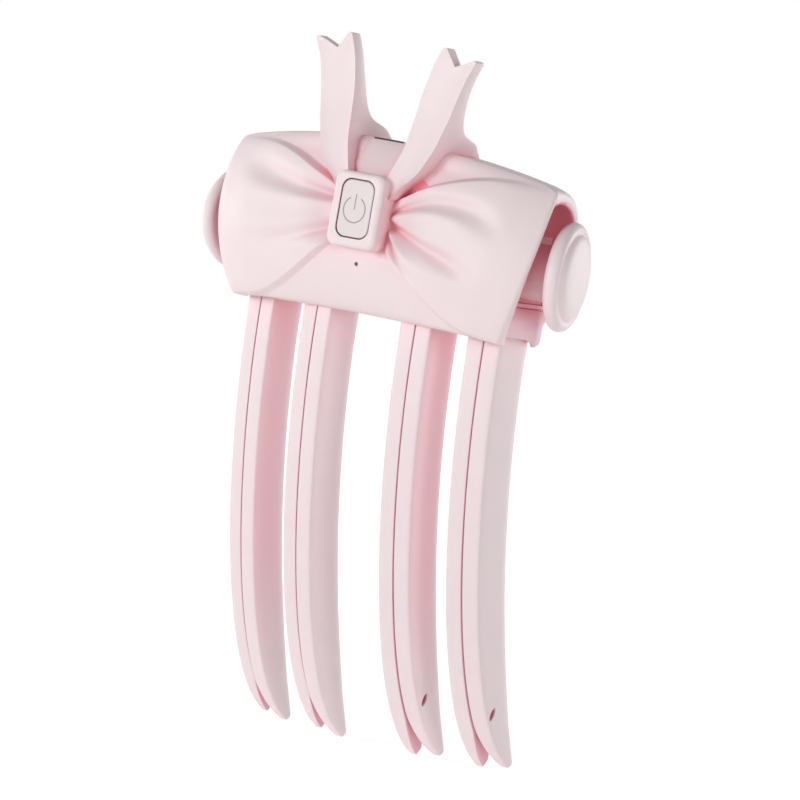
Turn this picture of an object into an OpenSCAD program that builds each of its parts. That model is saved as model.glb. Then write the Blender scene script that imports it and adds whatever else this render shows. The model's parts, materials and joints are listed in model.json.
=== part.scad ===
// Heated volumizing comb: a bow-shaped housing over four curved split teeth.
// Squeezing the two end discs slides one half of each tooth and opens its slit.
// +X is the wearer's right when seen from the front, +Y is the back, +Z is up.
// The origin is in the middle of the tooth row, at the front faces and the housing's lower edge.

/* [Tooth row] */
// Distance from the middle to each inner tooth's slit
inner_slit_x = 13.7; // [12:0.1:16]
// Distance from the middle to each outer tooth's slit
outer_slit_x = 31.1; // [29.5:0.1:31.5]
// Width of one half of a tooth
half_w = 3.9; // [3:0.1:4.2]
// Gap between the two halves of a closed tooth
slit_gap = 0.3; // [0.2:0.05:0.6]
// Height from the slit's top to a tooth's tip
tooth_drop = 97.5; // [70:0.5:105]
// Distance that the tip lies behind the tooth's root
tip_back = 35.6; // [25:0.1:45]
// Depth of a tooth from front to back at its root
tooth_depth = 13.2; // [11:0.1:13.4]

/* [Housing] */
// Radius of the housing's forward arch, seen from above
plan_r = 170; // [140:1:260]
// Height of the housing at its middle
body_h = 41; // [38:0.5:46]
// Drop of the housing's top from the middle to the ends
end_drop = 4.6; // [0:0.1:6]
// Wall thickness of the two shells
wall = 2; // [1.4:0.1:2.4]

/* [Knot and button] */
// Width of the knot
knot_w = 13.3; // [12:0.1:15]
// Height of the knot
knot_h = 17.3; // [16:0.1:20]
// Height of the knot's centre above the origin
knot_z = 24.1; // [22:0.1:26]
// Distance of the knot's front face before the origin
knot_front = 11.9; // [11:0.1:14]
// Width of the power button
button_w = 9; // [7:0.1:10]
// Height of the power button
button_h = 13.5; // [11:0.1:14]
// Travel of the power button
button_travel = 0.6; // [0.3:0.1:0.8]

/* [Squeeze discs] */
// Radius of a disc
disc_r = 12.5; // [10:0.1:13]
// Thickness of a disc's rim
disc_t = 3.6; // [3:0.1:4]
// Travel of each disc when it is squeezed
squeeze = 3; // [2:0.1:3.2]

/* [Ribbon tails] */
// Height of the tails' tips above the origin
tail_top = 63.8; // [56:0.1:70]
// Width between a tail's two tips
tail_w = 9; // [7:0.1:11]

/* [Hidden] */

pink = [0.94, 0.80, 0.83];
deep_pink = [0.87, 0.68, 0.72];
steel = [0.72, 0.73, 0.75];
board_green = [0.16, 0.36, 0.24];
dark = [0.15, 0.15, 0.17];

// Clearances, each named by what it frees
slide_fit = 0.06;
part_gap = 0.3;
window_gap = 0.25;
hole_gap = 0.05;
cut = 0.5;

// Number of steps in the modelled curves
arch_steps = 36;
front_steps = 12;
back_steps = 12;
tooth_steps = 24;
round_fn = 48;

// Housing section, measured back from the arch
lip_mid = 2.2;
lip_end = 5.5;
lip_top = 2.6;
swell_mid = 6.2;
swell_end = 5.4;
lobe_swell = 1.5;
pinch_deep = 3;
knot_seat_y = -5;
knot_corner = 2.2;
lip_rise = 1.5;
back_mid_y = 8;
back_reach = 11.4;
back_mid_z = 20;
back_low_z = 0.3;
back_power = 0.67;
back_low_angle = -66;
round_end_y = 1.5;
round_end_swell = 1.2;
round_end_power = 0.87;
end_angle_low = 12.1;
end_angle_rise = 0.132;
end_angle_curl = 0.00162;

// Teeth and their tenons
root_z = 2.75;
root_ahead = 0.3;
root_pull = 0.4;
tip_pull = 0.25;
tip_tilt = 43.5;
tip_w = 2.5;
taper_power = 6.2;
front_chamfer = 0.5;
back_chamfer = 1.4;
back_chamfer_deep = 3.5;
vent_place = 0.8;
vent_share = -0.17;
vent_r = 0.7;
vent_half = 0.8;
vent_tilt = 22;
vent_depth = 1.4;
outer_tooth_scale = 0.993;
fixed_half_scale = 0.99;
flare_start = 0.9;
flare_share = 0.52;
tenon_in = 1;
tenon_w = 2.6;
tenon_front = 2.2;
tenon_depth = 4.8;
tenon_seat = 1;
fixed_tenon_z = 7;
moving_tenon_z = 12;
strip_w = 6;
strip_len = 54;
strip_t = 0.9;
strip_tilt = 9;
strip_top_z = -4;
strip_ahead = 0.9;

// Frame, rods and sliders
plate_z = 3;
plate_t = 2;
plate_front = 0.2;
plate_back = 12;
plate_angle = 11.6;
rod_r = 1.25;
rod_z = 7.7;
rod_front_y = -0.4;
rod_back_y = 12.4;
rod_front_end = 36;
rod_back_end = 33;
block_angle = 12.3;
block_t = 3;
block_top = 9.7;
wall_front = 6.1;
wall_shelf = 14.4;
beam_z = block_top + part_gap;
beam_t = 3.5;
beam_start = 9;
beam_end = 33.5;
beam_front = -1.8;
beam_back = 14.6;
lug_w = 4;
lug_inner_x = 15;
lug_outer_x = 26;
lug_r = 2;
lug_web = 2.6;
lug_web_front = -1.2;
upright_t = 3;
upright_top = 25.5;
upright_front = 1.4;
upright_back = 15.2;
foot_t = 2;
foot_h = 4;
centre_wall_t = 5;
centre_wall_top = 19.2;
spring_r = 2;
spring_in_r = 1.6;
socket_top = 8.2;

// Discs
disc_x = 44.9;
disc_y = 10.6;
disc_z = 17.4;
disc_tilt = 15;
stem_r = 6.5;
stem_len = 13;
spigot_y = 8.3;
spigot_r = 2.5;
dome_r = 10.5;
dome_h = 1.6;

// Engraved switch symbol
symbol_r = 2.95;
symbol_w = 0.35;
symbol_deep = 0.25;
symbol_z = -0.3;

// Screws
small_screw_r = 0.8;
small_head_r = 1.5;
small_head_t = 1.1;
screw_r = 1;
head_r = 1.9;
head_t = 1.4;
shell_screw_x = 29.5;
shell_screw_z = 31;
low_screw_z = 12.3;
boss_r = 2.5;
boss_end_y = 14.8;

// Electrical parts
board_y = -3.4;
board_t = 1.2;
board_w = 28;
board_low = 10.8;
board_h = 22;
switch_w = 6;
switch_t = 2.5;
plunger_r = 1.5;
plunger_front = -6.9;
plunger_back = -4.6;
stop_gap = 0.1;
led_z = 12;
led_hole_r = 0.5;
led_t = 0.8;
cell_r = 7.1;
cell_len = 49;
cell_y = 8;
cell_z = 28.4;
tray_half = 26.5;
tray_top = 27;
tray_gap = 0.2;
port_w = 8.9;
port_h = 3.2;
port_z = 16.5;
port_front = 12.6;
port_back = 19;
port_board_w = 16;
port_board_t = 0.8;
port_board_front = 10.9;
port_board_depth = 6;

function mix(a, b, t) = a + (b - a) * t;
function clamp01(t) = min(1, max(0, t));
function soft(t) = let(c = clamp01(t)) c * c * (3 - 2 * c);
function arch_y(x) = plan_r - sqrt(plan_r * plan_r - x * x);
function bezier(a, b, c, d, t) =
  let(s = 1 - t) s * s * s * a + 3 * s * s * t * b + 3 * s * t * t * c + t * t * t * d;
function bezier_slope(a, b, c, d, t) =
  let(s = 1 - t) s * s * (b - a) + 2 * s * t * (c - b) + t * t * (d - c);

// A point at an angle round the arch, a distance behind it and a height
function arch_point(angle, back, z) =
  [(plan_r - back) * sin(angle), plan_r - (plan_r - back) * cos(angle), z];
function end_angle(z) =
  let(h = max(0, z)) end_angle_low + end_angle_rise * h - end_angle_curl * h * h;
function low_z(u) = lip_rise * (1 - u * u);
function top_z(u) = body_h - end_drop * u * u;

// Share of the lobe's swelling at a place across (u) and up (f) the front
function lobe_low(u) = 0.39 * pow(1 - clamp01((abs(u) - 0.15) / 0.65), 1.6);
function lobe_high(u) = 0.7 + 0.3 * clamp01((abs(u) - 0.15) / 0.7);
function lobe(u, f) =
  soft((f - lobe_low(u) + 0.06) / 0.12) * soft((lobe_high(u) + 0.05 - f) / 0.1)
  * soft((abs(u) - 0.15) / 0.2) * soft((1.2 - abs(u)) / 0.4);

// The lobes are drawn in beside the knot
function pinch(u, f) =
  pinch_deep * soft((0.42 - abs(u)) / 0.26) * soft((abs(u) - 0.06) / 0.1)
  * soft((f - 0.3) / 0.15) * soft((0.85 - f) / 0.15);

// Front shell: distance behind the arch at u and f
function front_back(u, f) =
  -mix(mix(lip_mid, lip_end, u * u), lip_top, f)
  - mix(swell_mid, swell_end, u * u) * pow(max(0, sin(180 * f)), 0.7) + pinch(u, f);
function front_point(u, f, deep) =
  let(z = mix(low_z(u), top_z(u), f) - deep * f,
      back = front_back(u, f) + deep * (1 - f * f * f)
        - (deep == 0 ? lobe_swell * lobe(u, f) * (1 - f * f * f) : 0))
  arch_point(u * end_angle(z), back, z);

// Rear shell: distance behind the arch and height along its section, g from 0 to 1
// Towards the housing's ends the top rounds off further forward
function rear_section(u, g, deep) =
  let(w = u * u,
      top_y = mix(back_mid_y, round_end_y, w),
      rear_y = back_mid_y + back_reach + round_end_swell * w - deep)
  g < 0.25
    ? [mix(-lip_top, top_y, g / 0.25), top_z(u) - deep]
    : let(a = mix(90, back_low_angle, (g - 0.25) / 0.75),
          up = a > 0 ? top_z(u) - back_mid_z - deep : back_mid_z - back_low_z - deep,
          from = a > 0 ? top_y : back_mid_y,
          power = a > 0 ? mix(back_power, round_end_power, w) : back_power)
      [from + (rear_y - from) * pow(abs(cos(a)), power),
       back_mid_z + up * sign(a) * pow(abs(sin(a)), power)];
function rear_point(u, g, deep) =
  let(s = rear_section(u, g, deep)) arch_point(u * end_angle(s[1]), s[0], s[1]);

// A closed wall between an outer and an inner grid of points of the same size
module skin(outer, inner) {
  rows = len(outer);
  cols = len(outer[0]);
  half = rows * cols;
  points = concat([for (r = outer) each r], [for (r = inner) each r]);
  quads = concat(
    [for (i = [0:rows - 2], j = [0:cols - 2])
      [i * cols + j, i * cols + j + 1, (i + 1) * cols + j + 1, (i + 1) * cols + j]],
    [for (i = [0:rows - 2], j = [0:cols - 2])
      [half + i * cols + j, half + (i + 1) * cols + j,
       half + (i + 1) * cols + j + 1, half + i * cols + j + 1]],
    [for (i = [0:rows - 2])
      [i * cols, (i + 1) * cols, half + (i + 1) * cols, half + i * cols]],
    [for (i = [0:rows - 2]) let(e = cols - 1)
      [(i + 1) * cols + e, i * cols + e, half + i * cols + e, half + (i + 1) * cols + e]],
    [for (j = [0:cols - 2]) [j + 1, j, half + j, half + j + 1]],
    [for (j = [0:cols - 2]) let(e = (rows - 1) * cols)
      [e + j, e + j + 1, half + e + j + 1, half + e + j]]);
  tris = [for (q = quads) each [[q[0], q[1], q[2]], [q[0], q[2], q[3]]]];
  polyhedron(points, tris, convexity = 8);
}

// A closed solid through a row of rings that have the same number of points
module loft(rings) {
  n = len(rings[0]);
  last = (len(rings) - 1) * n;
  sides = [for (i = [0:len(rings) - 2], j = [0:n - 1]) let(k = (j + 1) % n)
    each [[i * n + j, i * n + k, (i + 1) * n + k], [i * n + j, (i + 1) * n + k, (i + 1) * n + j]]];
  caps = [for (j = [1:n - 2]) each [[0, j + 1, j], [last, last + j, last + j + 1]]];
  polyhedron([for (r = rings) each r], concat(sides, caps), convexity = 6);
}

// A plate in the XZ plane with round corners, from y0 back to y1
module round_plate(w, h, r, y0, y1) {
  translate([0, y1, 0]) rotate([90, 0, 0]) linear_extrude(y1 - y0) {
    square([w - 2 * r, h], center = true);
    square([w, h - 2 * r], center = true);
    for (x = [-1, 1], z = [-1, 1]) translate([x * (w / 2 - r), z * (h / 2 - r)])
      circle(r, $fn = round_fn);
  }
}

module rod_y(r, y0, y1) {
  translate([0, y0, 0]) rotate([-90, 0, 0]) cylinder(y1 - y0, r = r, $fn = round_fn);
}

module rod_x(r, x0, x1) {
  translate([x0, 0, 0]) rotate([0, 90, 0]) cylinder(x1 - x0, r = r, $fn = round_fn);
}

// Left pieces are the mirror image of right ones
module on_side(s) {
  if (s < 0) mirror([1, 0, 0]) children();
  else children();
}

// The outside of both shells in the middle third, to seat what stands on them
function envelope_ring(u) = concat(
  [for (j = [0:front_steps]) front_point(u, j / front_steps, 0)],
  [for (j = [1:back_steps]) rear_point(u, j / back_steps, 0)]);

module middle_envelope() {
  skip = 7;
  loft([for (i = [skip:arch_steps - skip]) envelope_ring(mix(-1, 1, i / arch_steps))]);
}

module screw_boss_cuts() {
  for (s = [-1, 1]) translate([s * shell_screw_x, 0, shell_screw_z])
    rod_y(screw_r + hole_gap, 3, boss_end_y + cut);
}

module front_shell() color(pink) {
  difference() {
    union() {
      skin(
        [for (i = [0:arch_steps]) let(u = mix(-1, 1, i / arch_steps))
          [for (j = [0:front_steps]) front_point(u, j / front_steps, 0)]],
        [for (i = [0:arch_steps]) let(u = mix(-1, 1, i / arch_steps))
          [for (j = [0:front_steps]) front_point(u, j / front_steps, wall)]]);
      translate([0, 0, knot_z]) round_plate(knot_w, knot_h, knot_corner, -knot_front, knot_seat_y);
      for (s = [-1, 1]) translate([s * shell_screw_x, 0, shell_screw_z])
        rod_y(boss_r, -4.2, boss_end_y);
    }
    translate([0, 0, knot_z]) {
      round_plate(button_w + 2 * window_gap, button_h + 2 * window_gap, 2.5,
        -knot_front - cut, -5);
      round_plate(knot_w - 2.6, knot_h - 2.6, 1.5, -knot_front + 1.5, -4.4);
    }
    translate([0, 0, led_z]) rod_y(led_hole_r, -10, -4);
    screw_boss_cuts();
  }
}

module port_slot(grow, y0, y1) {
  translate([0, 0, port_z])
    round_plate(port_w + 2 * grow, port_h + 2 * grow, (port_h + 2 * grow) / 2 - 0.01, y0, y1);
}

module rear_shell() color(pink) {
  difference() {
    union() {
      skin(
        [for (i = [0:arch_steps]) let(u = mix(-1, 1, i / arch_steps))
          [for (j = [0:back_steps]) rear_point(u, j / back_steps, 0)]],
        [for (i = [0:arch_steps]) let(u = mix(-1, 1, i / arch_steps))
          [for (j = [0:back_steps]) rear_point(u, j / back_steps, wall)]]);
      for (s = [-1, 1]) translate([s * shell_screw_x, 0, shell_screw_z])
        rod_y(boss_r + 0.6, boss_end_y, 20.2);
    }
    for (s = [-1, 1]) translate([s * shell_screw_x, 0, shell_screw_z]) {
      rod_y(screw_r + hole_gap, boss_end_y - cut, 23);
      rod_y(head_r + hole_gap, boss_end_y + 1.6, 23);
    }
    translate([0, 0, low_screw_z]) {
      rod_y(screw_r + hole_gap, 16, 21);
      rod_y(head_r + hole_gap, 18, 21);
    }
    port_slot(0.25, 16, 21);
  }
}

// Right tail: its outline from the front, then its outline from the side
tail_front_outline = [[5.6, 26], [6.6, 34], [8, 40], [8.6, 46], [9.2, 52], [10.6, 58], [12, 61.8],
  [12.8, 63.8], [14.2, 62.6], [16.3, 59.8], [19.2, 60.8], [22.2, 61.6], [20.8, 58.4], [19, 53],
  [17.6, 47], [15.6, 40], [13.2, 34], [9.6, 29.4], [8.4, 26]];
tail_side_outline = [[-9.4, 25], [-9, 32], [-7.8, 40], [-6.8, 48], [-6.4, 56], [-6.4, 68],
  [-3.1, 68], [-2.8, 58], [-1.8, 52.5], [0.4, 48.4], [3.8, 46], [8, 44.8], [11, 43.8],
  [12.4, 42], [12.6, 34], [0, 25]];

module ribbon_tail(s) color(pink) {
  x_scale = tail_w / 9;
  z_scale = tail_top / 63.8;
  difference() {
    on_side(s) intersection() {
      translate([0, 14, 0]) rotate([90, 0, 0]) linear_extrude(26)
        polygon([for (p = tail_front_outline) [17 + (p[0] - 17) * x_scale, p[1] * z_scale]]);
      rotate([90, 0, 90]) linear_extrude(30)
        polygon([for (p = tail_side_outline) [p[0], p[1] * z_scale]]);
    }
    middle_envelope();
    translate([0, 0, knot_z]) round_plate(knot_w, knot_h, knot_corner, -knot_front, -2);
  }
}

module left_ribbon_tail() ribbon_tail(-1);
module right_ribbon_tail() ribbon_tail(1);

// Side view of a tooth, as (back, up): its centre line from root to tip, and a place across it
spine_root = [tooth_depth / 2 - root_ahead, root_z];
spine_hand = [tooth_depth / 2 - root_ahead, root_z - root_pull * tooth_drop];
spine_tip = [tip_back, -tooth_drop];
tip_hand = spine_tip + tip_pull * tooth_drop * [-sin(tip_tilt), cos(tip_tilt)];
function tooth_at(t, share) =
  let(slope = bezier_slope(spine_root, spine_hand, tip_hand, spine_tip, t),
      across = [-slope[1], slope[0]] / norm(slope),
      depth = tip_w + (tooth_depth - tip_w) * (1 - pow(t, taper_power)))
  bezier(spine_root, spine_hand, tip_hand, spine_tip, t) + across * depth * share;

// Ring of points round one half of a tooth, from its slit face at x0 out to x1
function tooth_ring(t, x0, x1, size) =
  let(f = tooth_at(t, -0.5) * size,
      b = tooth_at(t, 0.5) * size,
      d = norm(b - f),
      dir = (b - f) / d,
      open = flare_share * pow(clamp01((t - flare_start) / (1 - flare_start)), 1.4),
      xi = mix(x0, x1, open),
      side = sign(x1 - x0),
      cf = min(front_chamfer, 0.2 * d),
      cb = min(back_chamfer, 0.3 * d),
      deep = min(back_chamfer_deep, 0.4 * d),
      raw = [[xi, f], [x1 - side * cf, f], [x1, f + dir * cf],
             [x1, b - dir * deep], [x1 - side * cb, b], [xi, b]],
      ring = [for (p = raw) [p[0], p[1][0] + arch_y(p[0]), p[1][1]]])
  side > 0 ? ring : [for (i = [5:-1:0]) ring[i]];

module tenon(slit_x, side, top, extra) {
  x = side > 0 ? slit_x + tenon_in : slit_x - tenon_in - tenon_w;
  translate([x - extra, arch_y(slit_x) + tenon_front - extra, root_z - tenon_seat])
    cube([tenon_w + 2 * extra, tenon_depth + 2 * extra, top - root_z + tenon_seat]);
}

function tenon_x(slit_x, side) = slit_x + side * (tenon_in + tenon_w / 2);
function tenon_y(slit_x) = arch_y(slit_x) + tenon_front + tenon_depth / 2;

module strip_place(slit_x) {
  translate([slit_x, arch_y(slit_x) + tooth_depth / 2 - strip_ahead, strip_top_z])
    rotate([strip_tilt, 0, 0]) children();
}

// One half of a tooth: side is where its body lies, seen from its slit
module tooth_half(slit_x, side, tenon_top, share) {
  x0 = slit_x + side * slit_gap / 2;
  size = share * (abs(slit_x) > 20 ? outer_tooth_scale : 1);
  color(pink) difference() {
    union() {
      loft([for (i = [0:tooth_steps]) tooth_ring(i / tooth_steps, x0, x0 + side * half_w, size)]);
      tenon(slit_x, side, tenon_top, 0);
    }
    translate([tenon_x(slit_x, side), tenon_y(slit_x), tenon_top - 4])
      cylinder(5, r = small_screw_r + hole_gap, $fn = round_fn);
    children();
  }
}

// The vent is a short slot in the outer face, near the tip
module fixed_tooth(slit_x) {
  side = sign(slit_x);
  vent = tooth_at(vent_place, vent_share);
  vent_x = slit_x + side * (slit_gap / 2 + half_w - vent_depth);
  reach = side * (vent_depth + cut);
  tooth_half(slit_x, side, fixed_tenon_z, fixed_half_scale) {
    strip_place(slit_x) translate([side > 0 ? slit_gap / 2 - cut : -slit_gap / 2 - strip_t,
      -strip_w / 2, -strip_len]) cube([strip_t + cut, strip_w, strip_len]);
    translate([vent_x, vent[0] + arch_y(slit_x), vent[1]]) rotate([-vent_tilt, 0, 0]) {
      for (z = [-vent_half, vent_half]) translate([0, 0, z])
        rod_x(vent_r, min(0, reach), max(0, reach));
      translate([min(0, reach), -vent_r, -vent_half])
        cube([abs(reach), 2 * vent_r, 2 * vent_half]);
    }
  }
}

module moving_tooth(slit_x) tooth_half(slit_x, -sign(slit_x), moving_tenon_z, 1);

module fixed_tooth_1() fixed_tooth(-outer_slit_x);
module fixed_tooth_2() fixed_tooth(-inner_slit_x);
module fixed_tooth_3() fixed_tooth(inner_slit_x);
module fixed_tooth_4() fixed_tooth(outer_slit_x);
module moving_tooth_1() moving_tooth(-outer_slit_x);
module moving_tooth_2() moving_tooth(-inner_slit_x);
module moving_tooth_3() moving_tooth(inner_slit_x);
module moving_tooth_4() moving_tooth(outer_slit_x);

// A heated metal strip let into the slit face of a fixed half
module heater_strip(slit_x) color(steel) {
  side = sign(slit_x);
  strip_place(slit_x) translate([side > 0 ? slit_gap / 2 : -slit_gap / 2 - strip_t,
    -strip_w / 2, -strip_len]) cube([strip_t, strip_w, strip_len]);
}

module heater_strip_1() heater_strip(-outer_slit_x);
module heater_strip_2() heater_strip(-inner_slit_x);
module heater_strip_3() heater_strip(inner_slit_x);
module heater_strip_4() heater_strip(outer_slit_x);

// Frame that holds the fixed halves, both rods and the battery tray
module arch_plate(angle, front, back) {
  steps = 20;
  angles = [for (i = [0:steps]) mix(-angle, angle, i / steps)];
  edge = [for (a = angles) let(p = arch_point(a, front, 0)) [p[0], p[1]]];
  rear = [for (a = angles) let(p = arch_point(-a, back, 0)) [p[0], p[1]]];
  polygon(concat(edge, rear));
}

module socket_block(slit_x) {
  side = sign(slit_x);
  x = side > 0 ? slit_x + 0.3 : slit_x - 4.5;
  translate([x, arch_y(slit_x) + tenon_front - 1, plate_z + 0.8])
    cube([4.2, tenon_depth + 2, socket_top - plate_z - 0.8]);
}

// Outline of the frame's upright walls from the side, which follows the shells' inside
function wall_outline(low, top) = [[plate_front + 0.4, low], [plate_back - 0.4, low],
  [plate_back - 0.4, 5.2], [15.2, block_top], [15.2, top], [-wall_front, top],
  [-wall_front, 7.9], [-wall_front + 0.8, 5.9], [-2.4, 4.6]];

module end_block(s) {
  on_side(s) translate([0, plan_r, 0]) rotate([0, 0, block_angle]) translate([-block_t, -plan_r, 0])
    rotate([90, 0, 90]) linear_extrude(block_t) polygon(wall_outline(plate_z + 0.5, block_top));
}

module centre_wall() {
  translate([-centre_wall_t / 2, 0, 0]) rotate([90, 0, 90]) linear_extrude(centre_wall_t)
    polygon([for (p = wall_outline(plate_z + 0.3, wall_shelf)) [max(p[0], -2), p[1]]]);
  translate([-centre_wall_t / 2, -0.2, wall_shelf - 1])
    cube([centre_wall_t, 10.8, centre_wall_top - wall_shelf + 1]);
}

module travel_slot(slit_x) {
  side = sign(slit_x);
  near = slit_x - side * (tenon_in - 0.4);
  far = slit_x - side * (tenon_in + tenon_w + squeeze + 0.4);
  translate([min(near, far), arch_y(slit_x) + tenon_front - 0.4, 0])
    cube([abs(far - near), tenon_depth + 0.8, 9]);
}

module base_frame() color(deep_pink) {
  difference() {
    union() {
      translate([0, 0, plate_z]) linear_extrude(plate_t)
        arch_plate(plate_angle, plate_front, plate_back);
      for (s = [-1, 1], x = [inner_slit_x, outer_slit_x]) socket_block(s * x);
      for (s = [-1, 1]) end_block(s);
      centre_wall();
    }
    for (s = [-1, 1], x = [inner_slit_x, outer_slit_x]) {
      tenon(s * x, s, fixed_tenon_z, hole_gap);
      travel_slot(s * x);
      translate([tenon_x(s * x, s), tenon_y(s * x), fixed_tenon_z - cut]) {
        cylinder(3, r = small_screw_r + hole_gap, $fn = round_fn);
        translate([0, 0, socket_top - fixed_tenon_z + cut])
          cylinder(3, r = small_head_r + 2 * hole_gap, $fn = round_fn);
      }
    }
    for (y = [rod_front_y, rod_back_y]) {
      reach = y == rod_front_y ? rod_front_end : rod_back_end;
      translate([0, y, rod_z]) rod_x(rod_r, -reach, reach);
    }
    translate([0, 0, low_screw_z]) rod_y(screw_r + hole_gap, 8, 17);
    for (y = [3, 9]) translate([0, y, 14])
      cylinder(6, r = small_screw_r + hole_gap, $fn = round_fn);
  }
}

module guide_rods() color(steel) {
  translate([0, rod_front_y, rod_z]) rod_x(rod_r, -rod_front_end, rod_front_end);
  translate([0, rod_back_y, rod_z]) rod_x(rod_r, -rod_back_end, rod_back_end);
}

// Slider that carries both moving halves of one side and its disc
module slider(s) color(deep_pink) on_side(s) difference() {
  union() {
    translate([beam_start, beam_front, beam_z])
      cube([beam_end - beam_start, beam_back - beam_front, beam_t]);
    for (x = [lug_inner_x, lug_outer_x], y = [rod_front_y, rod_back_y]) translate([0, y, 0]) {
      translate([0, 0, rod_z]) rod_x(lug_r, x, x + lug_w);
      translate([x, y == rod_front_y ? lug_web_front : -lug_web / 2, rod_z])
        cube([lug_w, lug_web, beam_z - rod_z + cut]);
    }
    translate([beam_end, upright_front, beam_z])
      cube([upright_t, upright_back - upright_front, upright_top - beam_z]);
    translate([beam_end - foot_t, upright_front, beam_z])
      cube([foot_t + cut, upright_back - upright_front, foot_h]);
  }
  for (y = [rod_front_y, rod_back_y]) translate([0, y, rod_z])
    rod_x(rod_r + slide_fit, lug_inner_x - cut, lug_outer_x + lug_w + cut);
  for (x = [inner_slit_x, outer_slit_x]) {
    translate([x - tenon_in - tenon_w - hole_gap, arch_y(x) + tenon_front - hole_gap, beam_z - cut])
      cube([tenon_w + 2 * hole_gap, tenon_depth + 2 * hole_gap, moving_tenon_z - beam_z + cut]);
    translate([tenon_x(x, -1), tenon_y(x), beam_z])
      cylinder(5, r = small_screw_r + hole_gap, $fn = round_fn);
  }
  translate([0, spigot_y, disc_z]) rod_x(spigot_r + hole_gap, beam_end - cut, beam_end + upright_t + cut);
}

module left_slider() slider(-1);
module right_slider() slider(1);

// Push disc with its round rim, raised dome, stem and spigot
module disc_profile() {
  half = disc_t / 2;
  translate([0, -half]) square([disc_r - half, disc_t]);
  translate([disc_r - half, 0]) circle(half, $fn = 32);
  translate([0, half]) square([dome_r - 2, dome_h]);
  translate([dome_r - dome_h, half]) intersection() {
    circle(dome_h, $fn = 32);
    square(dome_h * 2);
  }
  square([dome_r - dome_h, half + dome_h]);
}

// The stem ends flat on the slider's upright
module push_disc(s) color(pink) on_side(s) {
  face_x = beam_end + upright_t;
  difference() {
    union() {
      difference() {
        translate([disc_x, disc_y, disc_z]) rotate([0, 90, disc_tilt]) {
          rotate_extrude($fn = 96) intersection() {
            disc_profile();
            translate([0, -10]) square([20, 20]);
          }
          translate([0, 0, -stem_len - 1]) cylinder(stem_len, r = stem_r, $fn = round_fn);
        }
        translate([face_x - stem_len, disc_y - 2 * disc_r, disc_z - disc_r])
          cube([stem_len, 4 * disc_r, 2 * disc_r]);
      }
      translate([0, spigot_y, disc_z]) rod_x(spigot_r, beam_end, face_x + 2);
    }
    translate([0, spigot_y, disc_z]) rod_x(screw_r + hole_gap, beam_end - cut, beam_end + 7);
  }
}

module left_push_disc() push_disc(-1);
module right_push_disc() push_disc(1);

module disc_screw(s) color(steel) on_side(s) translate([0, spigot_y, disc_z]) {
  rod_x(screw_r, beam_end - 0.1, beam_end + 6);
  rod_x(head_r + 1.2, beam_end - head_t, beam_end);
}

module left_disc_screw() disc_screw(-1);
module right_disc_screw() disc_screw(1);

// A small screw that points down, its head's underside at the given height
module small_screw(z, shank) {
  translate([0, 0, z]) cylinder(small_head_t, r = small_head_r, $fn = round_fn);
  translate([0, 0, z - shank]) cylinder(shank + 0.2, r = small_screw_r, $fn = round_fn);
}

module slider_screws(s) color(steel) on_side(s)
  for (x = [inner_slit_x, outer_slit_x]) translate([tenon_x(x, -1), tenon_y(x), 0])
    small_screw(beam_z + beam_t, 4.5);

module left_tooth_screws() slider_screws(-1);
module right_tooth_screws() slider_screws(1);

module fixed_tooth_screws() color(steel)
  for (s = [-1, 1], x = [inner_slit_x, outer_slit_x])
    translate([tenon_x(s * x, s), tenon_y(s * x), 0]) small_screw(socket_top, 4);

// Return springs on both rods, as plain tubes of their coiled size
module return_springs(s) color(steel) on_side(s)
  for (y = [rod_front_y, rod_back_y]) translate([0, y, rod_z]) difference() {
    rod_x(spring_r, centre_wall_t / 2, lug_inner_x);
    rod_x(spring_in_r, centre_wall_t / 2 - cut, lug_inner_x + cut);
  }

module left_return_springs() return_springs(-1);
module right_return_springs() return_springs(1);

// Power button with its hidden flange, post and engraved switch symbol
module power_button() color(pink) difference() {
  union() {
    translate([0, 0, knot_z]) {
      round_plate(button_w, button_h, 2.3, -knot_front + 0.1, -knot_front + 2.4);
      round_plate(button_w + 1.2, button_h + 0.9, 1.4, -knot_front + 1.55, -knot_front + 2.4);
      rod_y(plunger_r + 0.2, -knot_front + 2.3, plunger_front);
    }
  }
  translate([0, 0, knot_z]) {
    translate([0, 0, symbol_z]) difference() {
      rod_y(symbol_r + symbol_w / 2, -knot_front - cut, -knot_front + symbol_deep);
      rod_y(symbol_r - symbol_w / 2, -knot_front - 1, -knot_front + 1);
      translate([-0.9, -knot_front - 1, 0]) cube([1.8, 2, symbol_r + 1]);
    }
    translate([-symbol_w / 2, -knot_front - cut, symbol_z])
      cube([symbol_w, cut + symbol_deep, symbol_r + 0.6]);
  }
}

module switch_plunger() color(dark) translate([0, 0, knot_z]) rod_y(plunger_r, plunger_front, plunger_back);

module tact_switch() color(dark) translate([0, 0, knot_z]) difference() {
  translate([-switch_w / 2, board_y - switch_t, -switch_w / 2]) cube([switch_w, switch_t, switch_w]);
  rod_y(plunger_r + slide_fit, board_y - switch_t - cut, plunger_back + button_travel + stop_gap);
}

module main_board() color(board_green)
  translate([-board_w / 2, board_y, board_low]) cube([board_w, board_t, board_h]);

module status_led() color([0.95, 0.95, 0.85])
  translate([-0.8, board_y - led_t, led_z - 0.6]) cube([1.6, led_t, 1.2]);

module light_pipe() color([0.9, 0.92, 0.95])
  translate([0, 0, led_z]) rod_y(led_hole_r - 0.02, -6.9, board_y - led_t);

module battery_cell() color([0.25, 0.45, 0.65]) translate([0, cell_y, cell_z]) {
  rod_x(cell_r, -cell_len / 2, cell_len / 2);
  rod_x(2.5, cell_len / 2 - 0.1, cell_len / 2 + 0.9);
}

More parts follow.
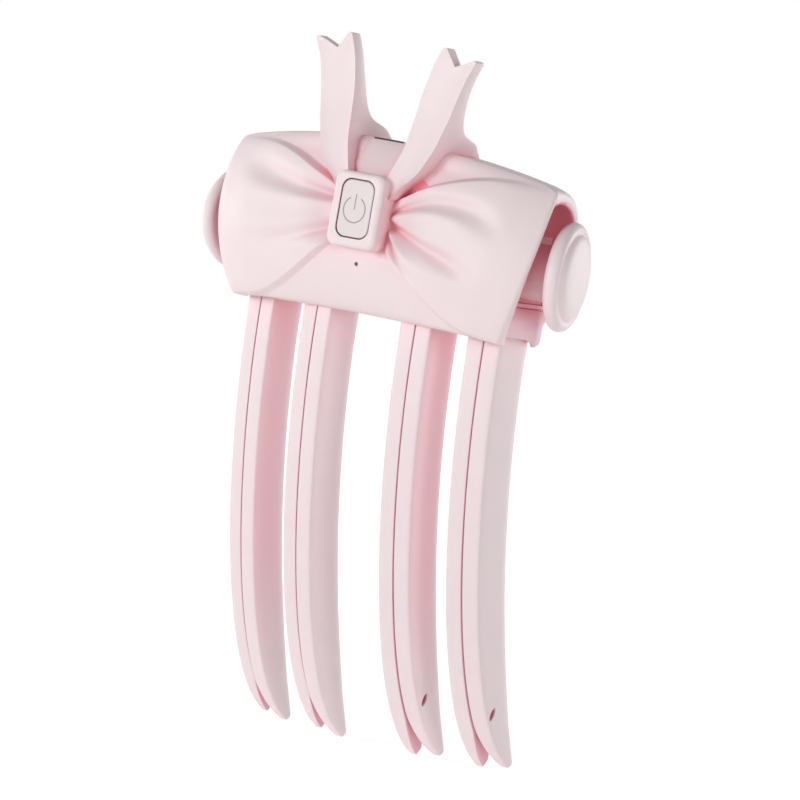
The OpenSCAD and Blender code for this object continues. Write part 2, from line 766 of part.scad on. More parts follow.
module battery_tray() color(deep_pink) difference() {
  translate([-tray_half, cell_y - 8.2, centre_wall_top])
    cube([2 * tray_half, 16.4, tray_top - centre_wall_top]);
  translate([0, cell_y, cell_z])
    rod_x(cell_r + tray_gap, -cell_len / 2 - tray_gap, cell_len / 2 + 1);
  for (y = [3, 9]) translate([0, y, centre_wall_top - cut]) {
    cylinder(6, r = small_screw_r + hole_gap, $fn = round_fn);
    translate([0, 0, cut + 0.7]) cylinder(6, r = small_head_r + hole_gap, $fn = round_fn);
  }
}

module tray_screws() color(steel)
  for (y = [3, 9]) translate([0, y, 0]) small_screw(centre_wall_top + 0.7, 5);

module shell_screws() color(steel) {
  for (s = [-1, 1]) translate([s * shell_screw_x, 0, shell_screw_z]) {
    rod_y(screw_r, 4, boss_end_y + 1.8);
    rod_y(head_r, boss_end_y + 1.6, boss_end_y + 1.6 + head_t);
  }
  translate([0, 0, low_screw_z]) {
    rod_y(screw_r, 9, 18.1);
    rod_y(head_r, 18, 18 + head_t - 0.3);
  }
}

module charge_port() color(steel) difference() {
  port_slot(0, port_front, port_back);
  difference() {
    port_slot(-0.3, port_front + 1, port_back + cut);
    translate([-3.3, port_front, port_z - 0.35]) cube([6.6, 5.4, 0.7]);
  }
}

module port_board() color(board_green)
  translate([-port_board_w / 2, port_board_front, port_z + port_h / 2])
    cube([port_board_w, port_board_depth, port_board_t]);

module thermal_fuse() color(dark) translate([4.1, 0, plate_z + plate_t + 1.1]) rod_y(1.1, 2.4, 8.9);

front_shell();
rear_shell();
left_ribbon_tail();
right_ribbon_tail();
base_frame();
fixed_tooth_1();
fixed_tooth_2();
fixed_tooth_3();
fixed_tooth_4();
moving_tooth_1();
moving_tooth_2();
moving_tooth_3();
moving_tooth_4();
heater_strip_1();
heater_strip_2();
heater_strip_3();
heater_strip_4();
left_slider();
right_slider();
left_push_disc();
right_push_disc();
left_disc_screw();
right_disc_screw();
left_tooth_screws();
right_tooth_screws();
left_return_springs();
right_return_springs();
guide_rods();
power_button();
switch_plunger();
tact_switch();
main_board();
status_led();
light_pipe();
battery_cell();
battery_tray();
tray_screws();
shell_screws();
fixed_tooth_screws();
charge_port();
port_board();
thermal_fuse();
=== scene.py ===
import json
import math

import bmesh
import bpy
import numpy as np
from mathutils import Matrix, Vector


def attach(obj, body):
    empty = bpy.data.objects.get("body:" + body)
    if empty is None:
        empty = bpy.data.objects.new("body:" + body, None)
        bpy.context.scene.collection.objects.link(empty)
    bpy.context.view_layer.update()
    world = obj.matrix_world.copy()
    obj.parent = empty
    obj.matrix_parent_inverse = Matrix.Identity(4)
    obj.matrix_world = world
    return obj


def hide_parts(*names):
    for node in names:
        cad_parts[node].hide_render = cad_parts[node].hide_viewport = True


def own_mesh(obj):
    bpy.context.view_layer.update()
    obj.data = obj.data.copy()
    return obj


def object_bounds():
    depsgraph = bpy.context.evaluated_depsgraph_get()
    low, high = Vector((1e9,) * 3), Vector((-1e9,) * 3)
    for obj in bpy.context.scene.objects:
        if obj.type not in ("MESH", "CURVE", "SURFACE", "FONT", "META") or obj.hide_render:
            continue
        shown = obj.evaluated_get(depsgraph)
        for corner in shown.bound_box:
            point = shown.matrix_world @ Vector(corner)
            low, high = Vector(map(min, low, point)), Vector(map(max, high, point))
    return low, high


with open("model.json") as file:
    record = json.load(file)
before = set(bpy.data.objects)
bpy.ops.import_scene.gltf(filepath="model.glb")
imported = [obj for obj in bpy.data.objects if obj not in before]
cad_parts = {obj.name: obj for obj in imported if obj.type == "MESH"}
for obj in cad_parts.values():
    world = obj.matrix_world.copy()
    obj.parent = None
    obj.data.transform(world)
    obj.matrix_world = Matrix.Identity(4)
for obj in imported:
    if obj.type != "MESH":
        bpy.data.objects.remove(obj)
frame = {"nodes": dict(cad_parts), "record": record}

CAD_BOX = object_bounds()
MM = 0.001

# Sizes are in millimetres and degrees. Places on the bow are shares: u runs from -1 at the left end
# to 1 at the right end, f up the front from 0 to 1, and g round the back from 0 on top to 1 below.

# The housing
PLAN_R, BODY_H, END_DROP, WALL, HALF_LENGTH = 170.0, 41.0, 4.6, 2.0, 41.0
END_LOW, END_RISE, END_CURL = 12.4, 0.1238, 0.00162
LIP_MID, LIP_END, LIP_TOP, LIP_RISE = 2.2, 5.5, 2.6, 1.5
SWELL_MID, SWELL_END, SWELL_POWER, PINCH_DEEP = 6.2, 5.4, 0.7, 3.0
BACK_MID_Y, BACK_REACH, BACK_MID_Z, BACK_LOW_Z = 8.0, 11.4, 20.0, 0.3
BACK_POWER, BACK_LOW_ANGLE, BACK_FLAT, BACK_END = 0.67, -66.0, 0.25, 0.985
ROUND_END_Y, ROUND_END_SWELL, ROUND_END_POWER = 1.5, 1.2, 0.87
END_ROLL, TOP_ROLL, END_ROLL_FROM, END_ROLL_SHARE = 2.0, 0.8, 0.88, 0.98
FRONT_RIM, REAR_RIM, LOW_RIM, ARCH_FILL, ARCH_FILL_BACK = 0.8, 1.3, 2.2, 1.1, 0.77
RIM_BULGE, RIM_STEPS, RIM_LEAST = 0.8, 6, 0.05
LED_Z, LED_HOLE_R, SCREW_HOLE_R = 12.0, 0.5, 1.05

# The knot and the button
KNOT_W, KNOT_H, KNOT_Z, KNOT_FRONT = 13.3, 17.3, 24.1, 11.9
KNOT_SEAT_Y, KNOT_CORNER, KNOT_EDGE, KNOT_WALL, KNOT_FACE_T = -5.0, 2.2, 1.1, 1.3, 1.5
WELL = (KNOT_W - 2 * KNOT_WALL, KNOT_H - 2 * KNOT_WALL, 1.5)
BUTTON_W, BUTTON_H, BUTTON_X, BUTTON_Z = 8.6, 13.0, 0.15, 24.35
BUTTON_CORNER, BUTTON_EDGE, BUTTON_SUNK, BUTTON_GAP, HOLE_CORNER = 2.3, 0.3, 0.1, 0.28, 2.5
FLANGE_OUT_W, FLANGE_OUT_H, FLANGE_CORNER, FLANGE_FRONT, FLANGE_T = 1.2, 0.9, 1.4, 1.5, 0.2
POST_R, POST_END_Y = 1.7, -6.9
SYMBOL_R, SYMBOL_BAR_UP, SYMBOL_OPEN = 2.95, 0.6, (118, 422)
SYMBOL_LINE = ((-0.18, 0.12), (-0.16, 0.0), (0.16, 0.0), (0.18, 0.12))
STRAP_U, STRAP_F, STRAP_OUT, STRAP_IN, STRAP_BEVEL = (-0.1, 0.125), (0.72, 0.985), 0.4, 0.6, 0.3
STRAP_SLOT_SHADE = ((-3.9, -3.0, 40.4), (3.9, -2.45, 41.12))

# The clamps
DISC_R, DISC_T, DISC_AT, DISC_TILT = 12.5, 3.6, (44.9, 10.6, 17.4), 15.0
STEM_R, STEM_LENGTH, SPIGOT_Y, SPIGOT_R = 6.5, 13.0, 8.3, 2.5
BEAM_END, UPRIGHT_T = 33.5, 3.0
ROD_Y, ROD_Z, STROKE = (-0.4, 12.4), 7.7, 3.0
SPRING_R, WIRE_R, SPRING_FROM, SPRING_TO, SPRING_TURNS, SPRING_FREE = 1.79, 0.19, 2.5, 15.0, 9, 0.02
COVER_X, COVER_ROUND_X, COVER_FRONT_Y, COVER_BACK_Y, COVER_ROUND_Y = 37.3, 3.4, -1.6, 13.0, 6.6
COVER_LOW, COVER_BACK_LOW, COVER_TOP, COVER_T, COVER_STEP_Y = 1.75, 0.3, 8.7, 0.75, (12.6, 13.6)
COVER_LIFT, COVER_LIFT_Y, COVER_LIFT_R = 5.5, 13.9, 6.0
COVER_GROOVE = ((0.0, -0.08), (0.1, 0), (0.55, 0), (0.55, 0.26), (0.12, 0.3), (0.2, 1.15), (COVER_T, 1.15))

# The teeth
INNER_SLIT, OUTER_SLIT, HALF_W, SLIT_GAP = 13.7, 31.1, 3.9, 0.3
TOOTH_DROP, TIP_BACK, TOOTH_DEPTH = 97.5, 35.6, 13.2
ROOT_Z, ROOT_AHEAD, ROOT_PULL = 2.75, 0.3, 0.4
TIP_PULL, TIP_TILT, TIP_W, TAPER_POWER = 0.25, 43.5, 2.5, 6.2
OUTER_SHARE, FIXED_SHARE = 0.993, 0.99
FLARE_START, FLARE_SHARE, FLARE_POWER = 0.84, 0.56, 1.2
SLIT_ROUND, FRONT_ROUND, BACK_ROUND, BACK_ROUND_DEEP = 0.22, 0.55, 1.6, 3.6
VENT_PLACE, VENT_SHARE, VENT_TILT, VENT_LONG, VENT_WIDE = 0.794, -0.17, 22.0, 1.7, 0.82
VENT_CUT, VENT_FLOOR = (-1.25, 2.0), (-0.4, -1.1)
TIP_ROWS = ((0.93, 0.22), (0.8, 0.42), (0.55, 0.62), (0.25, 0.72))
TENON_IN, TENON_W, TENON_FRONT, TENON_DEPTH = 1.0, 2.6, 2.2, 4.8
FIXED_TENON_Z, MOVING_TENON_Z = 7.0, 12.0
STRIP_W, STRIP_LEN, STRIP_T, STRIP_OPEN = 6.0, 54.0, 0.9, 0.6
STRIP_TILT, STRIP_TOP_Z, STRIP_AHEAD = 9.0, -4.0, 0.9


def mix(a, b, t):
    return a + (b - a) * t


def rise(x, start, end):
    """A smooth step of x, from 0 at start to 1 at end, which may lie below start."""
    c = np.clip((x - start) / (end - start), 0.0, 1.0)
    return c * c * (3 - 2 * c)


def turned(angle):
    """The cosine and the sine of an angle."""
    return math.cos(math.radians(angle)), math.sin(math.radians(angle))


def arch_y(x):
    return PLAN_R - np.sqrt(PLAN_R**2 - np.asarray(x, float) ** 2)


def arch_point(angle, back, z):
    a = np.radians(angle)
    r = PLAN_R - back
    return np.stack(np.broadcast_arrays(r * np.sin(a), PLAN_R - r * np.cos(a), z), -1)


def end_angle(z):
    h = np.maximum(0, z)
    return END_LOW + END_RISE * h - END_CURL * h * h


def low_z(u):
    return LIP_RISE * (1 - u * u)


def top_z(u):
    return BODY_H - END_DROP * u * u


# Meshes

SHARP, SHARP_SMALL, SHARP_WALL = 40.0, 50.0, 60.0
WELD = 1e-6
CORNER_STEPS, SIDE_STEPS, ROUND_STEPS = 8, 6, 48


def linked(name, data):
    ob = bpy.data.objects.new(name, data)
    bpy.context.scene.collection.objects.link(ob)
    return ob


def mesh_object(name, verts, faces, sharp=SHARP):
    """A mesh object from points in millimetres, smooth apart from edges sharper than the angle."""
    me = bpy.data.meshes.new(name)
    me.from_pydata([tuple(float(c) * MM for c in v) for v in verts], [], [tuple(f) for f in faces])
    me.validate()
    ob = linked(name, me)
    finish_mesh(ob, sharp)
    return ob


def finish_mesh(ob, sharp):
    bm = bmesh.new()
    bm.from_mesh(ob.data)
    bmesh.ops.remove_doubles(bm, verts=bm.verts, dist=WELD)
    bmesh.ops.recalc_face_normals(bm, faces=bm.faces)
    for f in bm.faces:
        f.smooth = True
    limit = math.radians(sharp)
    for e in bm.edges:
        e.smooth = not (len(e.link_faces) == 2 and e.calc_face_angle(0.0) > limit)
    bm.to_mesh(ob.data)
    bm.free()


def bake(ob, sharp):
    """Applies the object's modifiers to its mesh."""
    bpy.context.view_layer.update()
    graph = bpy.context.evaluated_depsgraph_get()
    me = bpy.data.meshes.new_from_object(ob.evaluated_get(graph))
    ob.modifiers.clear()
    ob.data = me
    finish_mesh(ob, sharp)


def cut(ob, cutters, sharp):
    for c in cutters:
        m = ob.modifiers.new("cut", "BOOLEAN")
        m.operation = "DIFFERENCE"
        m.solver = "EXACT"
        m.object = c
    bake(ob, sharp)
    for c in cutters:
        bpy.data.objects.remove(c)


def bevel(ob, width, segments, angle):
    m = ob.modifiers.new("bevel", "BEVEL")
    m.width = width * MM
    m.segments = segments
    m.limit_method = "ANGLE"
    m.angle_limit = math.radians(angle)
    m.harden_normals = False
    bake(ob, SHARP_SMALL)


def loft(name, rings, closed=False, sharp=SHARP, top=None):
    """A solid through rings with the same number of points; closed joins the last to the first.

    The last ring is filled by one face, or by those of top, given by places in the ring."""
    rings = np.asarray(rings, float)
    n, k = rings.shape[:2]
    faces = []
    for i in range(n if closed else n - 1):
        a, b = i * k, ((i + 1) % n) * k
        faces += [(a + j, a + (j + 1) % k, b + (j + 1) % k, b + j) for j in range(k)]
    if not closed:
        faces.append(tuple(range(k - 1, -1, -1)))
        for row in top or [range(k)]:
            faces.append(tuple((n - 1) * k + j for j in row))
    return mesh_object(name, rings.reshape(-1, 3), faces, sharp)


def joined(name, parts):
    """One object from several, which are removed."""
    bm = bmesh.new()
    for p in parts:
        bm.from_mesh(p.data)
    me = bpy.data.meshes.new(name)
    bm.to_mesh(me)
    bm.free()
    for p in parts:
        bpy.data.objects.remove(p)
    return linked(name, me)


def mirrored(ob, name):
    """A copy mirrored in the middle plane."""
    me = ob.data.copy()
    me.name = name
    me.transform(Matrix.Diagonal((-1, 1, 1, 1)))
    me.flip_normals()
    return linked(name, me)


def round_rect(w, h, r):
    """Points round a rectangle with round corners, counter-clockwise, as (x, z)."""
    pts = []
    corners = [(1, 1, 0), (-1, 1, 90), (-1, -1, 180), (1, -1, 270)]
    for i, (sx, sz, start) in enumerate(corners):
        cx, cz = sx * (w / 2 - r), sz * (h / 2 - r)
        for j in range(CORNER_STEPS + 1):
            c, s = turned(start + 90 * j / CORNER_STEPS)
            pts.append((cx + r * c, cz + r * s))
        nx, nz, following = corners[(i + 1) % 4]
        c, s = turned(following)
        end = (nx * (w / 2 - r) + r * c, nz * (h / 2 - r) + r * s)
        last = pts[-1]
        for j in range(1, SIDE_STEPS):
            pts.append((mix(last[0], end[0], j / SIDE_STEPS), mix(last[1], end[1], j / SIDE_STEPS)))
    return np.array(pts)


def plate_rings(rows, centre=(0.0, 0.0)):
    """Rings in XZ planes from rows of (w, h, r, y)."""
    out = []
    for w, h, r, y in rows:
        p = round_rect(w, h, min(r, w / 2 - 0.01, h / 2 - 0.01))
        out.append(np.stack([p[:, 0] + centre[0], np.full(len(p), y), p[:, 1] + centre[1]], -1))
    return out


def round_edge(w, h, r, y, edge, steps, corner_share=1.0):
    """Rows for plate_rings that round a plate's side over into its face at y."""
    rows = []
    for angle in np.linspace(0, 90, steps):
        c, s = turned(angle)
        in_by = edge * (1 - c)
        rows.append((w - 2 * in_by, h - 2 * in_by, r - in_by * corner_share, y + edge * (1 - s)))
    return rows


def cylinder(name, r, a, b):
    """A plain round cutter or rod between two points."""
    a, b = np.asarray(a, float), np.asarray(b, float)
    d = (b - a) / np.linalg.norm(b - a)
    side = np.cross(d, [0, 0, 1] if abs(d[2]) < 0.9 else [1, 0, 0])
    side /= np.linalg.norm(side)
    up = np.cross(d, side)
    t = np.linspace(0, 2 * math.pi, ROUND_STEPS, endpoint=False)[:, None]
    ring = r * (np.cos(t) * side + np.sin(t) * up)
    return loft(name, [a + ring, b + ring])


def box(name, low, high):
    v = [(x, y, z) for x in (low[0], high[0]) for y in (low[1], high[1]) for z in (low[2], high[2])]
    f = [(0, 1, 3, 2), (4, 6, 7, 5), (0, 4, 5, 1), (2, 3, 7, 6), (0, 2, 6, 4), (1, 5, 7, 3)]
    return mesh_object(name, v, f)


# Materials

PINK = (0.93, 0.80, 0.812)
# The tints of painted shade on a surface between walls: nearly closed in, and half open
ROSE_SHADE = ((0.97, 0.42, 0.48), (0.99, 0.82, 0.85))
BLUSH_SHADE = ((0.98, 0.50, 0.56), (0.992, 0.86, 0.885))
FAINT_SHADE = ((0.99, 0.60, 0.66), (0.995, 0.90, 0.92))
DUSK_SHADE = ((0.9, 0.5, 0.56), (1.0, 0.8, 0.84))
HOLLOW_SHADE_REACH, HOLLOW_SHADE_FADE, HOLLOW_SHADE_PLACES, HOLLOW_SHADE_SAMPLES = 22.0, (-84.0, -56.0), (0.05, 0.5, 0.97), 8
# The colour of the painted glow in hollows
PAINTED_GLOW_COLOR = (1.0, 0.5, 0.57)
DRIFT_SIZE, DRIFT_PLACES, GRAIN_SIZE, GRAIN_DEEP, ROUGH_DRIFT = 9.0, (0.3, 0.7), 0.25, 0.02, 0.05


def new_node(tree, kind, values=None, **settings):
    """A shader node with its settings and its sockets' values."""
    node = tree.nodes.new("ShaderNode" + kind)
    for key, value in settings.items():
        setattr(node, key, value)
    for key, value in (values or {}).items():
        node.inputs[key].default_value = value
    return node


def color_ramp(tree, value, places, colors):
    """Colours at places from 0 to 1 along a value."""
    node = new_node(tree, "ValToRGB")
    marks = node.color_ramp.elements
    marks[0].position, marks[1].position = places[0], places[-1]
    for place_of in places[1:-1]:
        marks.new(place_of)
    for mark, color in zip(marks, colors):
        mark.color = (*color, 1)
    tree.links.new(value, node.inputs["Fac"])
    return node.outputs["Color"]


def map_range(tree, value, start=(0.0, 1.0), end=(0.0, 1.0)):
    """A value moved from one range to another."""
    node = new_node(tree, "MapRange", {"From Min": start[0], "From Max": start[1],
                                       "To Min": end[0], "To Max": end[1]})
    tree.links.new(value, node.inputs["Value"])
    return node.outputs["Result"]


def combined(tree, operation, a, b):
    node = new_node(tree, "Math", operation=operation)
    tree.links.new(a, node.inputs[0])
    tree.links.new(b, node.inputs[1])
    return node.outputs[0]


def material(name, color, rough, grain, metallic=0.0, mottle=0.03, coat=0.0, stretch=(1, 1, 1),
             hollow_shade=None, painted_glow=0.0):
    """A moulded or ground surface: colour drifts a little, grain is in the bump and the roughness.

    With the hollow tints, the surface is painted deeper in colour where other walls stand close to it:
    painted shade.
    With a glow, it also glows a little there: painted light. Both fade towards the teeth's tips."""
    mat = bpy.data.materials.new(name)
    mat.use_nodes = True
    tree = mat.node_tree
    join = tree.links.new
    surface = tree.nodes["Principled BSDF"]
    surface.inputs["Metallic"].default_value = metallic
    surface.inputs["Coat Weight"].default_value = coat
    coord = new_node(tree, "TexCoord")
    scale = new_node(tree, "Mapping", {"Scale": stretch})
    join(coord.outputs["Object"], scale.inputs["Vector"])

    def noise(size, detail):
        node = new_node(tree, "TexNoise", {"Scale": 1 / (size * MM), "Detail": detail})
        join(scale.outputs["Vector"], node.inputs["Vector"])
        return node.outputs["Fac"]

    # the drift's low end has less green, so it is a little rosier
    low = [color[0] * (1 - mottle), color[1] * (1 - mottle) ** 2, color[2] * (1 - mottle)]
    tone_and_painted_shade = color_ramp(tree, noise(DRIFT_SIZE, 2.0), DRIFT_PLACES, (low, color))
    # painted shade: the colour deepens where ambient occlusion finds other walls close by
    if hollow_shade:
        openness = new_node(tree, "AmbientOcclusion", {"Distance": HOLLOW_SHADE_REACH * MM},
                            samples=HOLLOW_SHADE_SAMPLES).outputs["AO"]
        axes = new_node(tree, "SeparateXYZ")
        join(coord.outputs["Object"], axes.inputs["Vector"])
        fade = map_range(tree, axes.outputs["Z"], [z * MM for z in HOLLOW_SHADE_FADE])
        both = new_node(tree, "Mix", data_type="RGBA", blend_type="MULTIPLY")
        join(fade, both.inputs["Factor"])
        join(tone_and_painted_shade, both.inputs["A"])
        join(color_ramp(tree, openness, HOLLOW_SHADE_PLACES, (*hollow_shade, (1, 1, 1))), both.inputs["B"])
        tone_and_painted_shade = both.outputs["Result"]
        # painted light: the surface glows a little where it is closed in
        if painted_glow:
            less = map_range(tree, openness, end=(painted_glow, 0.0))
            join(combined(tree, "MULTIPLY", less, fade), surface.inputs["Emission Strength"])
            surface.inputs["Emission Color"].default_value = (*PAINTED_GLOW_COLOR, 1)
    join(tone_and_painted_shade, surface.inputs["Base Color"])
    fine = noise(GRAIN_SIZE, 3.0)
    join(map_range(tree, fine, end=(rough - ROUGH_DRIFT, rough + ROUGH_DRIFT)), surface.inputs["Roughness"])
    if grain:
        bump = new_node(tree, "Bump", {"Strength": grain, "Distance": GRAIN_DEEP * MM})
        join(fine, bump.inputs["Height"])
        join(bump.outputs["Normal"], surface.inputs["Normal"])
    return mat


M = {
    "shell": material("pink_shell", PINK, 0.48, 0.2, mottle=0.01, hollow_shade=ROSE_SHADE),
    "pad": material("pink_pad", PINK, 0.48, 0.2, mottle=0.01, hollow_shade=FAINT_SHADE),
    "tooth": material("pink_tooth", PINK, 0.5, 0.2, mottle=0.01, hollow_shade=BLUSH_SHADE, painted_glow=0.1),
    # painted shade: a deep rose for the shells' inner faces, where shade falls inside
    "inside": material("rose_inside_painted_shade", (0.93, 0.34, 0.40), 0.5, 0.2, mottle=0.01, hollow_shade=DUSK_SHADE, painted_glow=0.1),
    "button": material("pink_button", (0.82, 0.74, 0.74), 0.42, 0.12, mottle=0.008),
    "inner_plastic": material("pink_inner", (0.88, 0.66, 0.70), 0.55, 0.35, mottle=0.02, hollow_shade=ROSE_SHADE),
    "heater": material("anodised_strip", (0.62, 0.62, 0.64), 0.32, 0.4, metallic=0.9, stretch=(1, 1, 0.08)),
    "steel": material("ground_steel", (0.60, 0.61, 0.63), 0.28, 0.3, metallic=1.0),
    "board": material("solder_mask", (0.03, 0.13, 0.06), 0.35, 0.3, mottle=0.2, coat=0.4),
    "black_plastic": material("black_moulded", (0.02, 0.02, 0.022), 0.5, 0.5, mottle=0.1),
    # painted shade: the clear light pipe is given a dark brown, the shade in its hole
    "light": material("dark_light_pipe_shade", (0.16, 0.09, 0.08), 0.2, 0.0, mottle=0.05, coat=0.2),
    "cell": material("cell_sleeve", (0.06, 0.16, 0.34), 0.3, 0.2, mottle=0.05, coat=0.3),
    "symbol": material("symbol_grey", (0.42, 0.37, 0.38), 0.5, 0.2, mottle=0.05),
    # painted shade: a darker pink for the slit faces between the tooth halves
    "slit": material("pink_slit_painted_shade", (0.86, 0.50, 0.56), 0.6, 0.2, mottle=0.02),
    # painted shade: a dark rose for the bottoms of the vent holes
    "vent": material("rose_vent_painted_shade", (0.40, 0.06, 0.12), 0.6, 0.2, mottle=0.03),
    "gap": material("gap_shadow", (0.10, 0.025, 0.035), 0.7, 0.3, mottle=0.1),
}


def place(ob, body, slot, nodes=(), mat=None):
    ob.data.materials.clear()
    ob.data.materials.append(M[mat or slot])
    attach(ob, body)
    if nodes:
        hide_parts(*nodes)


# How far faces look inwards, as a cosine, that take the painted shade of the walls' insides or of the slits
INSIDE_SHADE_FACING, SLIT_SHADE_FACING = -0.35, -0.8


def colour_faces(ob, mat, test):
    """Gives the faces whose middle and normal pass the test a second material."""
    ob.data.materials.append(M[mat])
    for face in ob.data.polygons:
        if test(face.center, face.normal):
            face.material_index = 1


# The bow's two shells

# Folds of each lobe, right (1) and left (-1). The first row of numbers is the fold's line: its f at the
# places a = |u| in the second. Then half width near the knot and far from it, depth at the knot and at
# the far end, and the a where it has faded out. Ridges have a negative depth.
FOLDS = {
    1: [((0.60, 0.65, 0.71, 0.70, 0.68), (0.17, 0.27, 0.40, 0.56, 0.72), 0.018, 0.075, 1.0, 1.3, 0.85),
        ((0.565, 0.62, 0.655, 0.64), (0.17, 0.33, 0.50, 0.65), 0.03, 0.06, -0.5, -0.5, 0.75),
        ((0.515, 0.46, 0.41, 0.36), (0.17, 0.33, 0.49, 0.66), 0.024, 0.055, 1.6, 1.6, 0.78),
        ((0.47, 0.38, 0.31, 0.24), (0.17, 0.29, 0.41, 0.59), 0.022, 0.07, -0.9, -0.6, 0.8),
        ((0.425, 0.34, 0.27, 0.22), (0.19, 0.27, 0.34, 0.42), 0.018, 0.025, 0.8, 0.5, 0.5)],
    -1: [((0.635, 0.66, 0.71, 0.75), (0.20, 0.38, 0.54, 0.68), 0.024, 0.08, 1.4, 1.5, 0.88),
         ((0.59, 0.60, 0.64, 0.66), (0.20, 0.40, 0.60, 0.75), 0.03, 0.07, -0.4, -0.4, 0.8),
         ((0.45, 0.38, 0.34, 0.34), (0.22, 0.40, 0.59, 0.75), 0.03, 0.05, 0.7, 0.7, 0.85),
         ((0.52, 0.46, 0.42, 0.41), (0.20, 0.38, 0.59, 0.76), 0.05, 0.09, -0.3, -0.4, 0.95)],
}
FOLD_DEEP, FOLD_FADE = 1.25, 0.3
PROUD_NEAR, PROUD_FAR, DIP_DEEP = 1.9, 0.9, 1.1
LOW_TOP, LOW_FROM, LOW_SPAN, LOW_POWER = 0.39, 0.15, 0.65, 1.6
HIGH_LEAST, HIGH_RISE, HIGH_FROM, HIGH_SPAN = 0.585, 0.385, 0.02, 0.9


def lobe_low(a):
    """The f of a lobe's lower edge at a = |u|."""
    return LOW_TOP * (1 - np.clip((a - LOW_FROM) / LOW_SPAN, 0, 1)) ** LOW_POWER


def lobe_high(a):
    """The f of a lobe's upper edge at a = |u|."""
    return HIGH_LEAST + HIGH_RISE * np.sin(math.pi / 2 * np.clip((a - HIGH_FROM) / HIGH_SPAN, 0, 1))


def folds(u, f):
    a = np.abs(u)
    total = np.zeros(np.broadcast(u, f).shape)
    for side, rows in FOLDS.items():
        share = np.where(u * side > 0, 1.0, 0.0)
        for line, across, near_w, far_w, near_d, far_d, end in rows:
            out = np.clip((a - across[0]) / (across[-1] - across[0]), 0, 1)
            centre = np.polyval(np.polyfit(across, line, 2), np.clip(a, across[0] - 0.05, across[-1] + 0.1))
            width, depth = mix(near_w, far_w, out), mix(near_d, far_d, out)
            fade = rise(a, end, end - FOLD_FADE) * FOLD_DEEP
            total = total - share * depth * fade * np.exp(-(((f - centre) / width) ** 2))
    return total * rise(a, 0.1, 0.18)


def pinch(u, f):
    """How far the front draws in beside the knot."""
    a = np.abs(u)
    return PINCH_DEEP * rise(a, 0.42, 0.16) * rise(a, 0.06, 0.16) * rise(f, 0.3, 0.45) * rise(f, 0.85, 0.7)


def rolled(u, f):
    """How far the outer faces draw in near the open ends, less at the top."""
    near = np.clip((np.abs(u) - END_ROLL_FROM) / (1 - END_ROLL_FROM), 0, 1)
    return mix(END_ROLL, TOP_ROLL, f * f) * (1 - np.sqrt(1 - (END_ROLL_SHARE * near) ** 2))


def front_surface(u, f, deep, relief=True):
    """Points of the front, moved into the wall by deep. Relief is the lobes' edges and folds."""
    if relief:
        deep = deep + rolled(u, f)
    z = mix(low_z(u), top_z(u), f) - deep * f
    back = -mix(mix(LIP_MID, LIP_END, u * u), LIP_TOP, f)
    back = back - mix(SWELL_MID, SWELL_END, u * u) * np.maximum(0, np.sin(math.pi * f)) ** SWELL_POWER
    back = back + pinch(u, f) + deep * (1 - f**3)
    if relief:
        a = np.abs(u)
        lo, hi = lobe_low(a), lobe_high(a)
        # the lobe stands out between its lower and upper edges, most near the knot
        step, top = rise(f, lo - 0.014, lo + 0.02), rise(f, hi + 0.012, hi - 0.018)
        proud = mix(PROUD_NEAR, PROUD_FAR, np.clip((a - 0.2) / 0.7, 0, 1))
        proud = proud * rise(a, 0.1, 0.2) * rise(a, 0.99, 0.74)
        back = back - proud * step * top * np.clip((1.04 - f) / 0.12, 0, 1)
        # the housing's top dips behind the lobe's upper edge
        dip = DIP_DEEP * rise(a, 0.85, 0.25) * rise(a, 0.1, 0.2)
        back = back + dip * (1 - top) * np.where(f > hi - 0.05, 1.0, 0.0) * rise(f, 0.985, 0.885)
        back = back - folds(u, f) * step * top
    return arch_point(u * end_angle(z), back, z)


def rear_surface(u, g, deep):
    """Points of the back, moved into the wall by deep: flat on top, then round to the lower edge."""
    flat = g < BACK_FLAT
    w = u * u
    top_y = mix(BACK_MID_Y, ROUND_END_Y, w)
    rear_y = BACK_MID_Y + BACK_REACH + ROUND_END_SWELL * w - deep
    a = np.radians(mix(90.0, BACK_LOW_ANGLE, np.clip((g - BACK_FLAT) / (1 - BACK_FLAT), 0, 1)))
    up = np.where(a > 0, top_z(u) - BACK_MID_Z - deep, BACK_MID_Z - BACK_LOW_Z - deep)
    start = np.where(a > 0, top_y, BACK_MID_Y)
    power = np.where(a > 0, mix(BACK_POWER, ROUND_END_POWER, w), BACK_POWER)
    round_y = start + (rear_y - start) * np.abs(np.cos(a)) ** power
    round_z = BACK_MID_Z + up * np.sign(a) * np.abs(np.sin(a)) ** power
    y = np.where(flat, mix(-LIP_TOP, top_y, g / BACK_FLAT), round_y)
    z = np.where(flat, top_z(u) - deep, round_z)
    return arch_point(u * end_angle(z), y, z)


